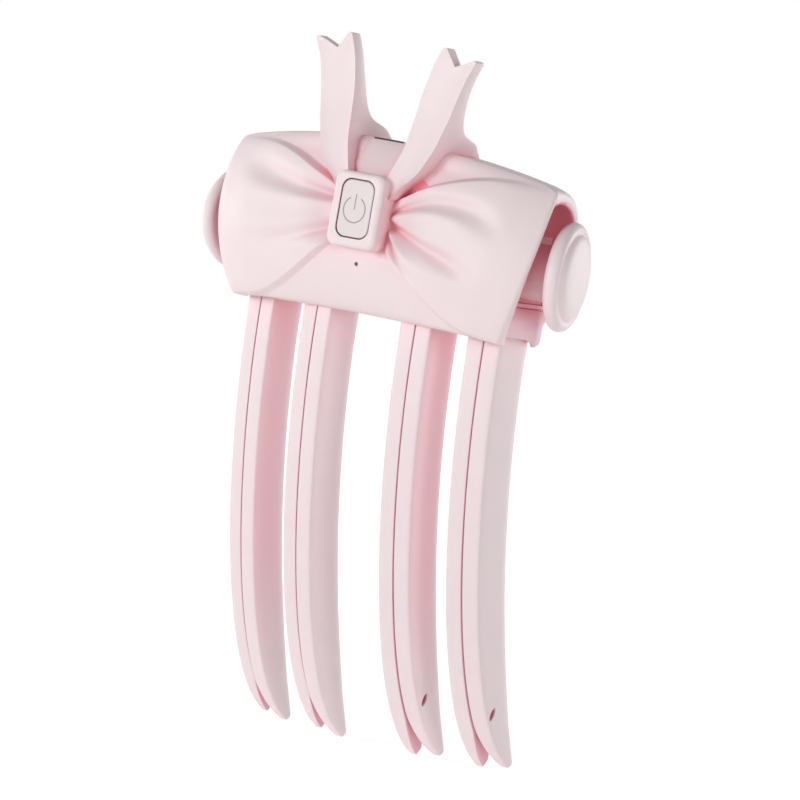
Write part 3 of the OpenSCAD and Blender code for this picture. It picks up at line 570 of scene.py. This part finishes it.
def shell(name, outer, inner):
    """A wall between two grids (across, along), with half-round rims all round."""
    arcs = np.linspace(0, math.pi, RIM_STEPS + 2)[1:-1]

    def rim(a, b, along):
        mid, arm = (a + b) / 2, (a - b) / 2
        out = along / np.linalg.norm(along) * np.linalg.norm(arm) * RIM_BULGE
        return [mid + arm * math.cos(t) + out * math.sin(t) for t in arcs]

    rings = np.array([np.concatenate([o, rim(o[-1], p[-1], o[-1] - o[-2]), p[::-1],
                                      rim(p[0], o[0], o[0] - o[1])]) for o, p in zip(outer, inner)])

    def closing(end, before):
        """Rings that shrink onto the wall's middle past an end."""
        ahead = rings[end] - rings[before]
        ahead /= np.linalg.norm(ahead, axis=1)[:, None]
        ahead *= WALL / 2 * RIM_BULGE
        c = (outer[end] + inner[end]) / 2
        c = np.concatenate([c, np.repeat(c[-1:], RIM_STEPS, 0), c[::-1], np.repeat(c[:1], RIM_STEPS, 0)])
        return [c + (rings[end] - c) * max(math.cos(t), RIM_LEAST) + ahead * math.sin(t)
                for t in np.linspace(0, math.pi / 2, RIM_STEPS // 2 + 2)[1:]]

    return loft(name, np.array(closing(0, 1)[::-1] + list(rings) + closing(-1, -2)), sharp=SHARP_WALL)


# The rims of the open ends bulge out to the ends' own place
END_INSET = 1 - RIM_BULGE * WALL / 2 / HALF_LENGTH


def build_front():
    near_end = np.linspace(0.89, 1, 24)
    us = np.concatenate([-near_end[::-1], np.linspace(-0.885, 0.885, 197), near_end]) * END_INSET
    cols = []
    for u in us:
        a = abs(u)
        lo, hi = float(lobe_low(a)), float(lobe_high(a))
        # rows gather at the lobe's lower and upper edges
        col = [np.linspace(0, max(lo - 0.02, 0.003), 14), np.linspace(max(lo - 0.014, 0.004), lo + 0.022, 11),
               np.linspace(lo + 0.03, hi - 0.027, 62), np.linspace(hi - 0.02, hi + 0.014, 11),
               np.linspace(hi + 0.02, 1.0, 14)]
        cols.append(np.maximum.accumulate(np.concatenate(col)))
    f = np.array(cols)
    u = us[:, None] * np.ones_like(f)
    a = np.abs(u)
    wall = WALL + (FRONT_RIM + LOW_RIM * np.clip(1 - f / 0.5, 0, 1)) * rise(a, 0.88, 1.0)
    # the open end has a round top
    wall = wall + ARCH_FILL * rise(f, 0.88, 1.0) ** 2 * rise(a, 0.9, 1.0)
    ob = shell("bow_front", front_surface(u, f, 0.0), front_surface(u, f, wall, relief=False))
    hole = cylinder("hole", LED_HOLE_R, (0, -12, LED_Z), (0, -3, LED_Z))
    well = loft("well", plate_rings([(*WELL, y) for y in (-14, -3)], (0, KNOT_Z)))
    cut(ob, [hole, well], SHARP_WALL)
    place(ob, "housing", "shell", ["front_shell"])
    # painted shade: faces that look back into the shell take the deep rose
    colour_faces(ob, "inside", lambda at, normal: normal.y > -INSIDE_SHADE_FACING and normal.z < 0.3)


# Each of the rear shell's screws: x, z, its head's radius, and the y of the head's seat, the bore's
# front and the bore's back. Then the charging slot's width, height, corner, front, back and z.
SHELL_SCREWS = [(-29.5, 31.0, 2.05, 16.4, 12.0, 26.0), (29.5, 31.0, 2.05, 16.4, 12.0, 26.0),
                (0.0, 12.3, 1.95, 18.0, 14.0, 24.0)]
PORT_W, PORT_H, PORT_CORNER, PORT_FRONT, PORT_BACK, PORT_Z = 9.4, 3.7, 1.84, 15.0, 24.0, 16.5


def build_rear():
    us = np.linspace(-1, 1, 121) * END_INSET
    g = np.concatenate([np.linspace(0.012, BACK_FLAT, 14), np.linspace(0.27, BACK_END, 60)])
    u, g = np.meshgrid(us, g, indexing="ij")
    wall = WALL + REAR_RIM * rise(np.abs(u), 0.84, 1.0)
    wall = wall + ARCH_FILL_BACK * rise(g, 0.3, 0.0) ** 2 * rise(np.abs(u), 0.9, 1.0)
    ob = shell("bow_back", rear_surface(u, g, rolled(u, 1.0)), rear_surface(u, g, wall))
    cutters = []
    for x, z, head_r, seat, front, back in SHELL_SCREWS:
        cutters.append(cylinder("head", head_r, (x, seat, z), (x, back, z)))
        cutters.append(cylinder("bore", SCREW_HOLE_R, (x, front, z), (x, back, z)))
    slot = [(PORT_W, PORT_H, PORT_CORNER, y) for y in (PORT_FRONT, PORT_BACK)]
    cutters.append(loft("port", plate_rings(slot, (0, PORT_Z))))
    cut(ob, cutters, SHARP_WALL)
    place(ob, "housing", "shell", ["rear_shell"])
    middle = Vector((0, BACK_MID_Y, BACK_MID_Z)) * MM

    def inward(at, normal):
        arm = at - middle
        arm.x = 0
        return normal.dot(arm.normalized()) < INSIDE_SHADE_FACING

    # painted shade: the inward faces take the deep rose
    colour_faces(ob, "inside", inward)


# The knot and the button


def build_knot():
    face, inner_y = -KNOT_FRONT, -KNOT_FRONT + KNOT_FACE_T
    rows = [(KNOT_W, KNOT_H, KNOT_CORNER, KNOT_SEAT_Y)]
    rows += round_edge(KNOT_W, KNOT_H, KNOT_CORNER, face, KNOT_EDGE, 9, 0.4)
    hole_w, hole_h = BUTTON_W + 2 * BUTTON_GAP, BUTTON_H + 2 * BUTTON_GAP
    hole = [(hole_w + 0.4, hole_h + 0.4, HOLE_CORNER + 0.1, face + 0.01)]
    for angle in np.linspace(0, 90, 4):
        c, s = turned(angle)
        wider = 0.2 * (1 - s)
        hole.append((hole_w + wider, hole_h + wider, HOLE_CORNER, face + 0.02 + 0.1 * (1 - c)))
    hole.append((hole_w, hole_h, HOLE_CORNER, inner_y))
    inner = [(*WELL, y) for y in (inner_y, KNOT_SEAT_Y)]
    at_button = (BUTTON_X, BUTTON_Z)
    rings = plate_rings(rows, (0, KNOT_Z)) + plate_rings(hole, at_button) + plate_rings(inner, (0, KNOT_Z))
    place(loft("bow_knot", rings, closed=True, sharp=SHARP_SMALL), "housing", "shell")
    # painted shade: a dark ring at the bottom of the gap round the button
    top, floor = face + 0.28, face + 1.2
    rim = [(hole_w - 0.02, hole_h - 0.02, HOLE_CORNER, y) for y in (top, floor)]
    rim += [(BUTTON_W + 0.08, BUTTON_H + 0.08, BUTTON_CORNER + 0.05, y) for y in (floor, top)]
    place(loft("button_gap_painted_shade", plate_rings(rim, at_button), closed=True), "housing", "shell", mat="gap")


def build_strap():
    """The ribbon's band between the tails, from the knot over the top, and a dark box as painted shade in the
    slot it goes into.
    """
    u, f = np.meshgrid(np.linspace(*STRAP_U, 13), np.linspace(*STRAP_F, 30), indexing="ij")
    top, under = (front_surface(u, f, deep, relief=False) for deep in (-STRAP_OUT, STRAP_IN))
    ob = loft("bow_strap", [np.concatenate([a, b[::-1]]) for a, b in zip(top, under)])
    bevel(ob, STRAP_BEVEL, 3, 40.0)
    place(ob, "housing", "shell")
    # painted shade: a dark box stands in for the shade in the strap's slot
    place(box("strap_slot_painted_shade", *STRAP_SLOT_SHADE), "housing", "shell", mat="gap")


def build_button():
    face = -KNOT_FRONT + BUTTON_SUNK
    flange = (BUTTON_W + FLANGE_OUT_W, BUTTON_H + FLANGE_OUT_H, FLANGE_CORNER)
    seat = face + FLANGE_FRONT
    rows = [(*flange, seat + FLANGE_T), (*flange, seat), (BUTTON_W, BUTTON_H, BUTTON_CORNER, seat)]
    rows += round_edge(BUTTON_W, BUTTON_H, BUTTON_CORNER, face, BUTTON_EDGE, 6)
    # the face swells a little towards its middle
    rows.append((BUTTON_W - 1.6, BUTTON_H - 1.6, 1.7, face - 0.03))
    rows.append((BUTTON_W - 5.0, BUTTON_H - 5.0, 1.0, face - 0.05))
    cap = loft("cap", plate_rings(rows, (BUTTON_X, BUTTON_Z)), sharp=SHARP_SMALL)
    post = cylinder("post", POST_R, (0, seat + 0.1, KNOT_Z), (0, POST_END_Y, KNOT_Z))
    place(joined("button_cap", [cap, post]), "button", "button", ["power_button"])
    # the power sign: a ring that is open at the top, and its bar
    face_y = face - 0.06
    ring = []
    for t in np.linspace(math.radians(SYMBOL_OPEN[0]), math.radians(SYMBOL_OPEN[1]), 64):
        c, s = math.cos(t), math.sin(t)
        ring.append([((SYMBOL_R + out) * c, face_y + y, (SYMBOL_R + out) * s + KNOT_Z)
                     for out, y in SYMBOL_LINE])
    bar = [[(x, face_y + y, z + KNOT_Z) for x, y in SYMBOL_LINE]
           for z in np.linspace(0, SYMBOL_R + SYMBOL_BAR_UP, 8)]
    place(joined("power_symbol", [loft("arc", ring), loft("bar", bar)]), "button", "button", mat="symbol")


# The springs and the end covers


def build_springs():
    """Coil springs on the rods, from the centre wall to the sliders."""
    steps = SPRING_TURNS * 28
    low, high = SPRING_FROM + WIRE_R + SPRING_FREE, SPRING_TO - WIRE_R - SPRING_FREE
    around = np.linspace(0, 2 * math.pi, 8, endpoint=False)
    r = SPRING_R + WIRE_R * np.cos(around)
    coils = []
    for y in ROD_Y:
        rings = []
        for i in range(steps + 1):
            t = 2 * math.pi * SPRING_TURNS * i / steps
            rings.append(np.stack([mix(low, high, i / steps) + WIRE_R * np.sin(around),
                                   y + r * math.cos(t), ROD_Z + r * math.sin(t)], -1))
        coils.append(loft("coil", rings))
    right = joined("springs_right", coils)
    left = mirrored(right, "springs_left")
    for ob, side, s in ((right, "right", 1), (left, "left", -1)):
        place(ob, "housing", "steel", ["%s_return_springs" % side])
        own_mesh(ob)


def build_end_covers():
    """A plate that closes each end below the stem, rounded at its back, with a groove near its top."""
    path = [(COVER_X, y) for y in np.linspace(COVER_FRONT_Y, COVER_BACK_Y, 8)]
    for angle in np.linspace(8, 90, 12):
        c, s = turned(angle)
        path.append((COVER_X - COVER_ROUND_X * (1 - c), COVER_BACK_Y + COVER_ROUND_Y * s))
    path = np.array(path)
    along = np.gradient(path, axis=0)
    out = np.stack([along[:, 1], -along[:, 0]], -1)
    out /= np.linalg.norm(out, axis=1)[:, None]
    rings = []
    for (x, y), (nx, ny) in zip(path, out):
        # the bottom rises towards the back in a round
        low = mix(COVER_LOW, COVER_BACK_LOW, float(rise(y, *COVER_STEP_Y)))
        back = max(0.0, (y - COVER_LIFT_Y) / COVER_LIFT_R)
        low += COVER_LIFT * (1 - math.sqrt(max(0.0, 1 - back**2)))
        profile = [(0.3, low), (0.0, low + 0.3)] + [(d, COVER_TOP + up) for d, up in COVER_GROOVE]
        rings.append([(x - nx * d, y - ny * d, z) for d, z in profile + [(COVER_T, low)]])
    right = loft("end_cover_right", rings, sharp=SHARP_WALL)
    for ob in (right, mirrored(right, "end_cover_left")):
        place(ob, "housing", "shell", mat="inner_plastic")


# The ribbon tails: the inner and outer edges as (x, z), the front and back faces as (z, y)

TAIL_IN = [(4.2, 26), (5.0, 31), (6.6, 36), (7.8, 40), (8.6, 46), (9.3, 52), (10.6, 58), (11.9, 61.8),
           (12.8, 63.8)]
TAIL_OUT = [(7.4, 28.0), (9.2, 30.4), (12.9, 34.3), (15.6, 40), (17.6, 47), (19.0, 53), (20.2, 57),
            (21.2, 59.4), (22.2, 61.6)]
TAIL_FRONT = [(25, -9.4), (32, -9.1), (40, -7.8), (48, -6.8), (56, -6.4), (64, -6.4)]
TAIL_BACK = [(25, 0), (34, 12.4), (39.5, 12.3), (40.6, 11.2), (41.6, 9.6), (42.8, 8.4), (43.5, 7.3),
             (44.0, 5.0), (44.6, 2.4), (45.6, 0.9), (47.2, -0.4), (50, -1.6), (54, -2.4), (58, -2.8),
             (64, -3.1)]
TAIL_ACROSS, TAIL_SIDE, TAIL_HOLLOW, TAIL_BOW, TAIL_BEVEL = 24, 6, 0.55, 0.25, 0.4
TIP_ROUND, TIP_SPLIT, NOTCH, NOTCH_FROM = 0.8, 0.34, 3.3, 0.62


def smooth_curve(points, t):
    """Catmull-Rom through points at t from 0 to 1, along their length."""
    p = np.array(points, float)
    d = np.concatenate([[0], np.cumsum(np.linalg.norm(np.diff(p, axis=0), axis=1))])
    d /= d[-1]
    out = []
    for s in t:
        i = int(np.clip(np.searchsorted(d, s) - 1, 0, len(p) - 2))
        h = (s - d[i]) / (d[i + 1] - d[i])
        p0, p1, p2, p3 = p[max(i - 1, 0)], p[i], p[i + 1], p[min(i + 2, len(p) - 1)]
        out.append(0.5 * (2 * p1 + (p2 - p0) * h + (2 * p0 - 5 * p1 + 4 * p2 - p3) * h * h
                          + (3 * p1 - p0 - 3 * p2 + p3) * h**3))
    return np.array(out)


def curve_at(points, z):
    """The curve's height at z, softened over 0.6 mm each way."""
    zs, ys = zip(*points)
    near = sum(np.interp(z + d, zs, ys) for d in (-0.6, -0.3, 0.3, 0.6))
    return (np.interp(z, zs, ys) * 2 + near) / 6


def build_tails():
    places = np.concatenate([np.linspace(0, 0.95, 90), np.linspace(0.955, 1, 16)])
    inner, outer = smooth_curve(TAIL_IN, places), smooth_curve(TAIL_OUT, places)
    length = np.linalg.norm(np.diff((inner + outer) / 2, axis=0), axis=1).sum()
    t = np.linspace(0, 1, TAIL_ACROSS + 1)
    # the notch between the two tips
    notch = np.where(t < TIP_SPLIT, t / TIP_SPLIT, (1 - t) / (1 - TIP_SPLIT))
    rings = []
    for start, end, at in zip(inner, outer, places):
        # the two tips are rounded: the sides draw in over the last of the length
        left = min((1 - at) * length, TIP_ROUND)
        draw = TIP_ROUND - math.sqrt(TIP_ROUND**2 - (TIP_ROUND - left) ** 2)
        side = (end - start) / np.linalg.norm(end - start)
        flat = start + side * draw + (end - start - 2 * side * draw) * t[:, None]
        x, z = flat[:, 0], flat[:, 1] - NOTCH * notch * rise(at, NOTCH_FROM, 1.0) ** 2
        f = np.stack([x, curve_at(TAIL_FRONT, z) + TAIL_HOLLOW * (1 - (2 * t - 1) ** 2), z], -1)
        b = np.stack([x, curve_at(TAIL_BACK, z), z], -1)
        # side rows between front and back, which bow a little
        rows = []
        for a, c, sign in ((f[-1], b[-1], 1), (b[0], f[0], -1)):
            for h in np.linspace(0, 1, TAIL_SIDE + 2)[1:-1]:
                rows.append(a + (c - a) * h + [TAIL_BOW * sign * math.sin(math.pi * h), 0, 0])
        rings.append(np.concatenate([f, rows[:TAIL_SIDE], b[::-1], rows[TAIL_SIDE:]]))
    # the top follows the notch: strips between front and back, then the two sides
    k = len(rings[0])
    last = TAIL_ACROSS + TAIL_SIDE + TAIL_ACROSS + 1
    top = [(j, j + 1, last - j - 1, last - j) for j in range(TAIL_ACROSS)]
    top += [tuple(range(TAIL_ACROSS, TAIL_ACROSS + TAIL_SIDE + 2)), (*range(last, k), 0)]
    right = loft("tail_right", rings, top=top)
    bevel(right, TAIL_BEVEL, 4, 32.0)
    left = mirrored(right, "tail_left")
    place(right, "housing", "shell", ["right_ribbon_tail"])
    place(left, "housing", "shell", ["left_ribbon_tail"])


# The teeth

ROOT_MID = TOOTH_DEPTH / 2 - ROOT_AHEAD
TIP_COS, TIP_SIN = turned(TIP_TILT)
# The middle line of a tooth from the side, as a Bezier curve of (back, up)
SPINE = [np.array(p, float) for p in (
    (ROOT_MID, ROOT_Z), (ROOT_MID, ROOT_Z - ROOT_PULL * TOOTH_DROP),
    (TIP_BACK - TIP_PULL * TOOTH_DROP * TIP_SIN, -TOOTH_DROP + TIP_PULL * TOOTH_DROP * TIP_COS),
    (TIP_BACK, -TOOTH_DROP))]


def tooth_at(t, share):
    """A place on the tooth's side view, as (back, up): share runs from -0.5 in front to 0.5 behind."""
    a, b, c, d = SPINE
    s = 1 - t
    point = s**3 * a + 3 * s * s * t * b + 3 * s * t * t * c + t**3 * d
    slope = s * s * (b - a) + 2 * s * t * (c - b) + t * t * (d - c)
    across = np.array([-slope[1], slope[0]]) / np.linalg.norm(slope)
    depth = TIP_W + (TOOTH_DEPTH - TIP_W) * (1 - t**TAPER_POWER)
    return point + across * depth * share


def corner(cx, cs, rx, rs, start, n):
    """Quarter of an ellipse in (x, depth) round a centre, from start degrees on."""
    out = []
    for j in range(n + 1):
        c, s = turned(start + 90 * j / n)
        out.append((cx + rx * c, cs + rs * s))
    return out


def tooth_rings(x0, side, size):
    """Rings of a tooth half from its slit face at x0, which reaches to side (1 or -1)."""
    w = HALF_W
    rings = []
    for t in np.concatenate([np.linspace(0, 0.86, 56), np.linspace(0.87, 1.0, 26)]):
        f, b = tooth_at(t, -0.5) * size, tooth_at(t, 0.5) * size
        d = np.linalg.norm(b - f)
        # the slit flares towards the tip
        xi = w * FLARE_SHARE * max(0.0, (t - FLARE_START) / (1 - FLARE_START)) ** FLARE_POWER
        slit, front = min(SLIT_ROUND, 0.1 * d), min(FRONT_ROUND, 0.25 * d, (w - xi) * 0.4)
        rear, deep = min(BACK_ROUND, 0.3 * d, (w - xi) * 0.45), min(BACK_ROUND_DEEP, 0.4 * d)
        # the outline: x from the slit face outwards, depth from the front edge backwards
        pts = (corner(xi + slit, slit, slit, slit, 180, 3)
               + [(mix(xi + slit, w - front, h), 0.0) for h in (0.25, 0.5, 0.75)]
               + corner(w - front, front, front, front, 270, 4)
               + [(w, mix(front, d - deep, h)) for h in (0.25, 0.5, 0.75)]
               + corner(w - rear, d - deep, rear, deep, 0, 7)
               + [(mix(w - rear, xi + slit, h), d) for h in (0.33, 0.66)]
               + corner(xi + slit, d - slit, slit, slit, 90, 3)
               + [(xi, mix(d - slit, slit, h)) for h in (0.33, 0.66)])
        x = np.array([x0 + side * p[0] for p in pts])
        yz = f + np.array([p[1] for p in pts])[:, None] * (b - f) / d
        rings.append(np.stack([x, yz[:, 0] + arch_y(x), yz[:, 1]], -1))
    # a rounded tip
    last = rings[-1]
    mid = last.mean(0)
    ahead = last - rings[-2]
    ahead /= np.linalg.norm(ahead, axis=1)[:, None]
    return rings + [mid + (last - mid) * c + ahead * s
                    for c, s in TIP_ROWS]


def tenon_box(slit, side, top):
    x = slit + TENON_IN if side > 0 else slit - TENON_IN - TENON_W
    y = float(arch_y(slit)) + TENON_FRONT
    return box("tenon", (x, y, ROOT_Z - 1), (x + TENON_W, y + TENON_DEPTH, top))


def open_fixed(tooth, number, slit, side):
    """Cuts a fixed half's vent hole and the bed of its heater strip, and gives the hole a dark bottom, as
    painted shade.
    """
    y, z = tooth_at(VENT_PLACE, VENT_SHARE)
    y += float(arch_y(slit))
    face = slit + side * (SLIT_GAP / 2 + HALF_W)
    c, s = turned(VENT_TILT)
    oval = []
    for a in np.linspace(0, 2 * math.pi, 40, endpoint=False):
        # its ends are pointed
        p, q = VENT_LONG * math.cos(a), VENT_WIDE * math.sin(a) * abs(math.sin(a)) ** 0.35
        oval.append((y + q * c + p * s, z - q * s + p * c))
    hole, floor = ([[(face + side * dx, *at) for at in oval] for dx in reach]
                   for reach in (VENT_CUT, VENT_FLOOR))
    reach = (-STRIP_OPEN, STRIP_T) if side > 0 else (-STRIP_T, STRIP_OPEN)
    strip = box("strip", (reach[0], -STRIP_W / 2, -STRIP_LEN), (reach[1], STRIP_W / 2, 0))
    strip.data.transform(Matrix.Rotation(math.radians(STRIP_TILT), 4, "X"))
    strip_at = (slit + side * SLIT_GAP / 2, float(arch_y(slit)) + TOOTH_DEPTH / 2 - STRIP_AHEAD, STRIP_TOP_Z)
    strip.data.transform(Matrix.Translation(Vector(strip_at) * MM))
    cut(tooth, [loft("vent", hole), strip], SHARP_SMALL)
    place(loft("vent_shade_floor_%d" % number, floor), "housing", "tooth", mat="vent")


def build_teeth():
    for number, slit in ((1, -OUTER_SLIT), (2, -INNER_SLIT), (3, INNER_SLIT), (4, OUTER_SLIT)):
        out = 1 if slit > 0 else -1
        size = OUTER_SHARE if abs(slit) == OUTER_SLIT else 1.0
        clamp = "right_clamp" if slit > 0 else "left_clamp"
        for kind, side, top, share, body in (("fixed", out, FIXED_TENON_Z, FIXED_SHARE, "housing"),
                                             ("moving", -out, MOVING_TENON_Z, 1.0, clamp)):
            rings = tooth_rings(slit + side * SLIT_GAP / 2, side, size * share)
            tooth = loft("tooth", rings, sharp=SHARP_SMALL)
            if kind == "fixed":
                open_fixed(tooth, number, slit, side)
            ob = joined("%s_half_%d" % (kind, number), [tooth, tenon_box(slit, side, top)])
            place(ob, body, "tooth", ["%s_tooth_%d" % (kind, number)])
            # painted shade: the slit faces take the darker pink
            colour_faces(ob, "slit", lambda at, normal: (
                normal.x * side < SLIT_SHADE_FACING and abs(at.x / MM - slit) < HALF_W * 0.9))


# The discs

# A disc's dome and groove from its middle out: radius, and height over half the disc's thickness
DISC_DOME = [(0.0, 1.58), (2.0, 1.56), (4.0, 1.48), (6.0, 1.34), (7.6, 1.14), (8.7, 0.90), (9.3, 0.62),
             (9.7, 0.28), (9.9, 0.02), (10.1, -0.16), (10.4, -0.20), (10.7, -0.10), (10.9, -0.02)]
# Its back from the rim to the stem, with the height under the back face
DISC_BACK = [(8.6, 0.0), (7.4, 0.0), (6.9, 0.12), (6.6, 0.4), (STEM_R, 0.9)]
DISC_STEPS = 120


def build_discs():
    half = DISC_T / 2
    prof = [(r, half + h) for r, h in DISC_DOME]
    for angle in np.linspace(80, -90, 18):
        c, s = turned(angle)
        prof.append((DISC_R - half + half * c, half * s))
    prof += [(r, -half - h) for r, h in DISC_BACK] + [(STEM_R, -STEM_LENGTH), (0.0, -STEM_LENGTH)]
    t = np.linspace(0, 2 * math.pi, DISC_STEPS, endpoint=False)
    c, s = turned(DISC_TILT)
    rings = []
    for r, h in prof:
        y, z = max(r, 1e-4) * np.cos(t), max(r, 1e-4) * np.sin(t)
        rings.append(np.stack([h * c - y * s, h * s + y * c, z], -1) + np.array(DISC_AT))
    disc = loft("disc", rings, sharp=SHARP_SMALL)
    # the stem ends flat on the slider's upright, and a spigot goes into it
    stem_x = BEAM_END + UPRIGHT_T
    cut(disc, [box("inside", (10, -15, 0), (stem_x, 36, 40))], SHARP_SMALL)
    spigot = cylinder("spigot", SPIGOT_R, *((x, SPIGOT_Y, DISC_AT[2]) for x in (BEAM_END, stem_x + 2)))
    right = joined("push_pad_right", [disc, spigot])
    left = mirrored(right, "push_pad_left")
    place(right, "right_clamp", "shell", ["right_push_disc"], mat="pad")
    place(left, "left_clamp", "shell", ["left_push_disc"], mat="pad")


build_front()
build_rear()
build_knot()
build_strap()
build_button()
build_springs()
build_end_covers()
build_tails()
build_teeth()
build_discs()

# CAD nodes that stay get their slot's material
SLOT_OF = {row["node"]: row["material_slot"] for row in frame["record"]["subparts"]}
for node, ob in frame["nodes"].items():
    if not ob.data:
        continue
    for i in range(max(1, len(ob.data.materials))):
        if i < len(ob.material_slots):
            ob.material_slots[i].material = M[SLOT_OF[node]]
        else:
            ob.data.materials.append(M[SLOT_OF[node]])

# Floor, light and camera, in metres and watts

FLOOR_Z, FLOOR_R = CAD_BOX[0][2] - 0.0004, 3.0
# The floor's painted glow: it rises from near to far until it is white, and to other rays it glows by the
# lift
FLOOR_NEAR, FLOOR_FAR, FLOOR_GLOW_NEAR, FLOOR_GLOW_LIFT = 0.08, 0.32, 0.62, 0.3
WORLD_LEVEL, WORLD_TOP = 0.52, 0.04
WHITE = (1, 1, 1, 1)
CAM_AZ, CAM_EL, CAM_ROLL = 33.5, 2.4, 9.9
# The focal length in pixels, the distance in millimetres and the origin's place in the picture
CAM_F, CAM_D, IMAGE_W, ORIGIN_PX = 6500.0, 1480.0, 800.0, (364.95, 318.38)
SENSOR_W, CLIP_NEAR, CLIP_FAR = 36.0, 0.05, 20.0
# Each lamp's side, height and power
LAMPS = {"key": (-18, 9, 5.1), "right": (72, 7, 2.3), "left": (-80, 7, 2.6), "back": (165, 9, 2.8)}
LAMP_SIZE, LAMP_AWAY, LAMP_AIM = 0.5, 1.2, (0, 0, -0.02)


def seen(tree):
    """1 for rays that the camera sees, straight, mirrored or through clear parts."""
    path = new_node(tree, "LightPath")
    most = combined(tree, "MAXIMUM", path.outputs["Is Camera Ray"], path.outputs["Is Glossy Ray"])
    return combined(tree, "MAXIMUM", most, path.outputs["Is Transmission Ray"])


def stage_material():
    """A pale floor that keeps the shadow; it glows as painted light, growing to the backdrop's white with the
    distance, and to other rays it glows a little, lighting the object from below.
    """
    mat = bpy.data.materials.new("studio_floor")
    mat.use_nodes = True
    tree = mat.node_tree
    join = tree.links.new
    surface = tree.nodes["Principled BSDF"]
    surface.inputs["Base Color"].default_value = (0.86, 0.85, 0.85, 1)
    surface.inputs["Roughness"].default_value = 0.9
    surface.inputs["Specular IOR Level"].default_value = 0.1
    far = new_node(tree, "VectorMath", operation="LENGTH")
    join(new_node(tree, "TexCoord").outputs["Object"], far.inputs[0])
    painted_glow = new_node(tree, "Emission")
    level = map_range(tree, far.outputs["Value"], (FLOOR_NEAR, FLOOR_FAR), (FLOOR_GLOW_NEAR, 1.0))
    join(level, painted_glow.inputs["Strength"])
    lift = new_node(tree, "Emission", {"Strength": FLOOR_GLOW_LIFT})
    pick = new_node(tree, "MixShader")
    join(seen(tree), pick.inputs["Fac"])
    for i, light in ((1, lift), (2, painted_glow)):
        add = new_node(tree, "AddShader")
        join(surface.outputs["BSDF"], add.inputs[0])
        join(light.outputs["Emission"], add.inputs[1])
        join(add.outputs["Shader"], pick.inputs[i])
    join(pick.outputs["Shader"], tree.nodes["Material Output"].inputs["Surface"])
    return mat


def build_stage():
    n = 64
    ring = [(*(FLOOR_R * c for c in turned(360 * i / n)), FLOOR_Z) for i in range(n)]
    me = bpy.data.meshes.new("studio_floor")
    me.from_pydata(ring, [], [tuple(range(n))])
    ob = linked("studio_floor", me)
    me.materials.append(stage_material())


def build_world():
    """White as seen; as a light it is dimmer, and more so from above than from the sides."""
    world = bpy.data.worlds.new("studio")
    bpy.context.scene.world = world
    world.use_nodes = True
    tree = world.node_tree
    tree.nodes.clear()
    join = tree.links.new
    axes = new_node(tree, "SeparateXYZ")
    join(new_node(tree, "TexCoord").outputs["Generated"], axes.inputs["Vector"])
    dim, white = (new_node(tree, "Background", {"Color": WHITE}) for _ in range(2))
    join(map_range(tree, axes.outputs["Z"], end=(WORLD_LEVEL, WORLD_TOP)), dim.inputs["Strength"])
    pick = new_node(tree, "MixShader")
    join(seen(tree), pick.inputs["Fac"])
    join(dim.outputs["Background"], pick.inputs[1])
    join(white.outputs["Background"], pick.inputs[2])
    join(pick.outputs["Shader"], new_node(tree, "OutputWorld").inputs["Surface"])


def towards(azimuth, elevation):
    """The direction of a camera or lamp seen from the object; azimuth 0 is in front of it."""
    (ca, sa), (ce, se) = turned(azimuth), turned(elevation)
    return Vector((sa * ce, -ca * ce, se))


def build_camera():
    back = towards(CAM_AZ, CAM_EL)
    right = Vector((*turned(CAM_AZ), 0))
    up = back.cross(right)
    c, s = turned(CAM_ROLL)
    right, up = right * c + up * s, -right * s + up * c
    cam = bpy.data.cameras.new("camera")
    cam.sensor_width = SENSOR_W
    cam.lens = CAM_F / IMAGE_W * SENSOR_W
    cam.clip_start, cam.clip_end = CLIP_NEAR, CLIP_FAR
    ob = linked("camera", cam)
    aside, above = ((IMAGE_W / 2 - p) * CAM_D / CAM_F for p in ORIGIN_PX)
    m = Matrix((right, up, back)).transposed().to_4x4()
    m.translation = (right * aside - up * above + back * CAM_D) * MM
    ob.matrix_world = m
    bpy.context.scene.camera = ob


def build_lamps():
    for name, (azimuth, elevation, power) in LAMPS.items():
        d = towards(azimuth, elevation)
        lamp = bpy.data.lights.new(name, "AREA")
        lamp.shape = "DISK"
        lamp.size = LAMP_SIZE
        lamp.energy = power
        ob = linked(name, lamp)
        ob.location = Vector(LAMP_AIM) + d * LAMP_AWAY
        ob.rotation_euler = d.to_track_quat("Z", "Y").to_euler()


build_stage()
build_world()
build_camera()
build_lamps()
bpy.context.scene.view_settings.view_transform = "Standard"
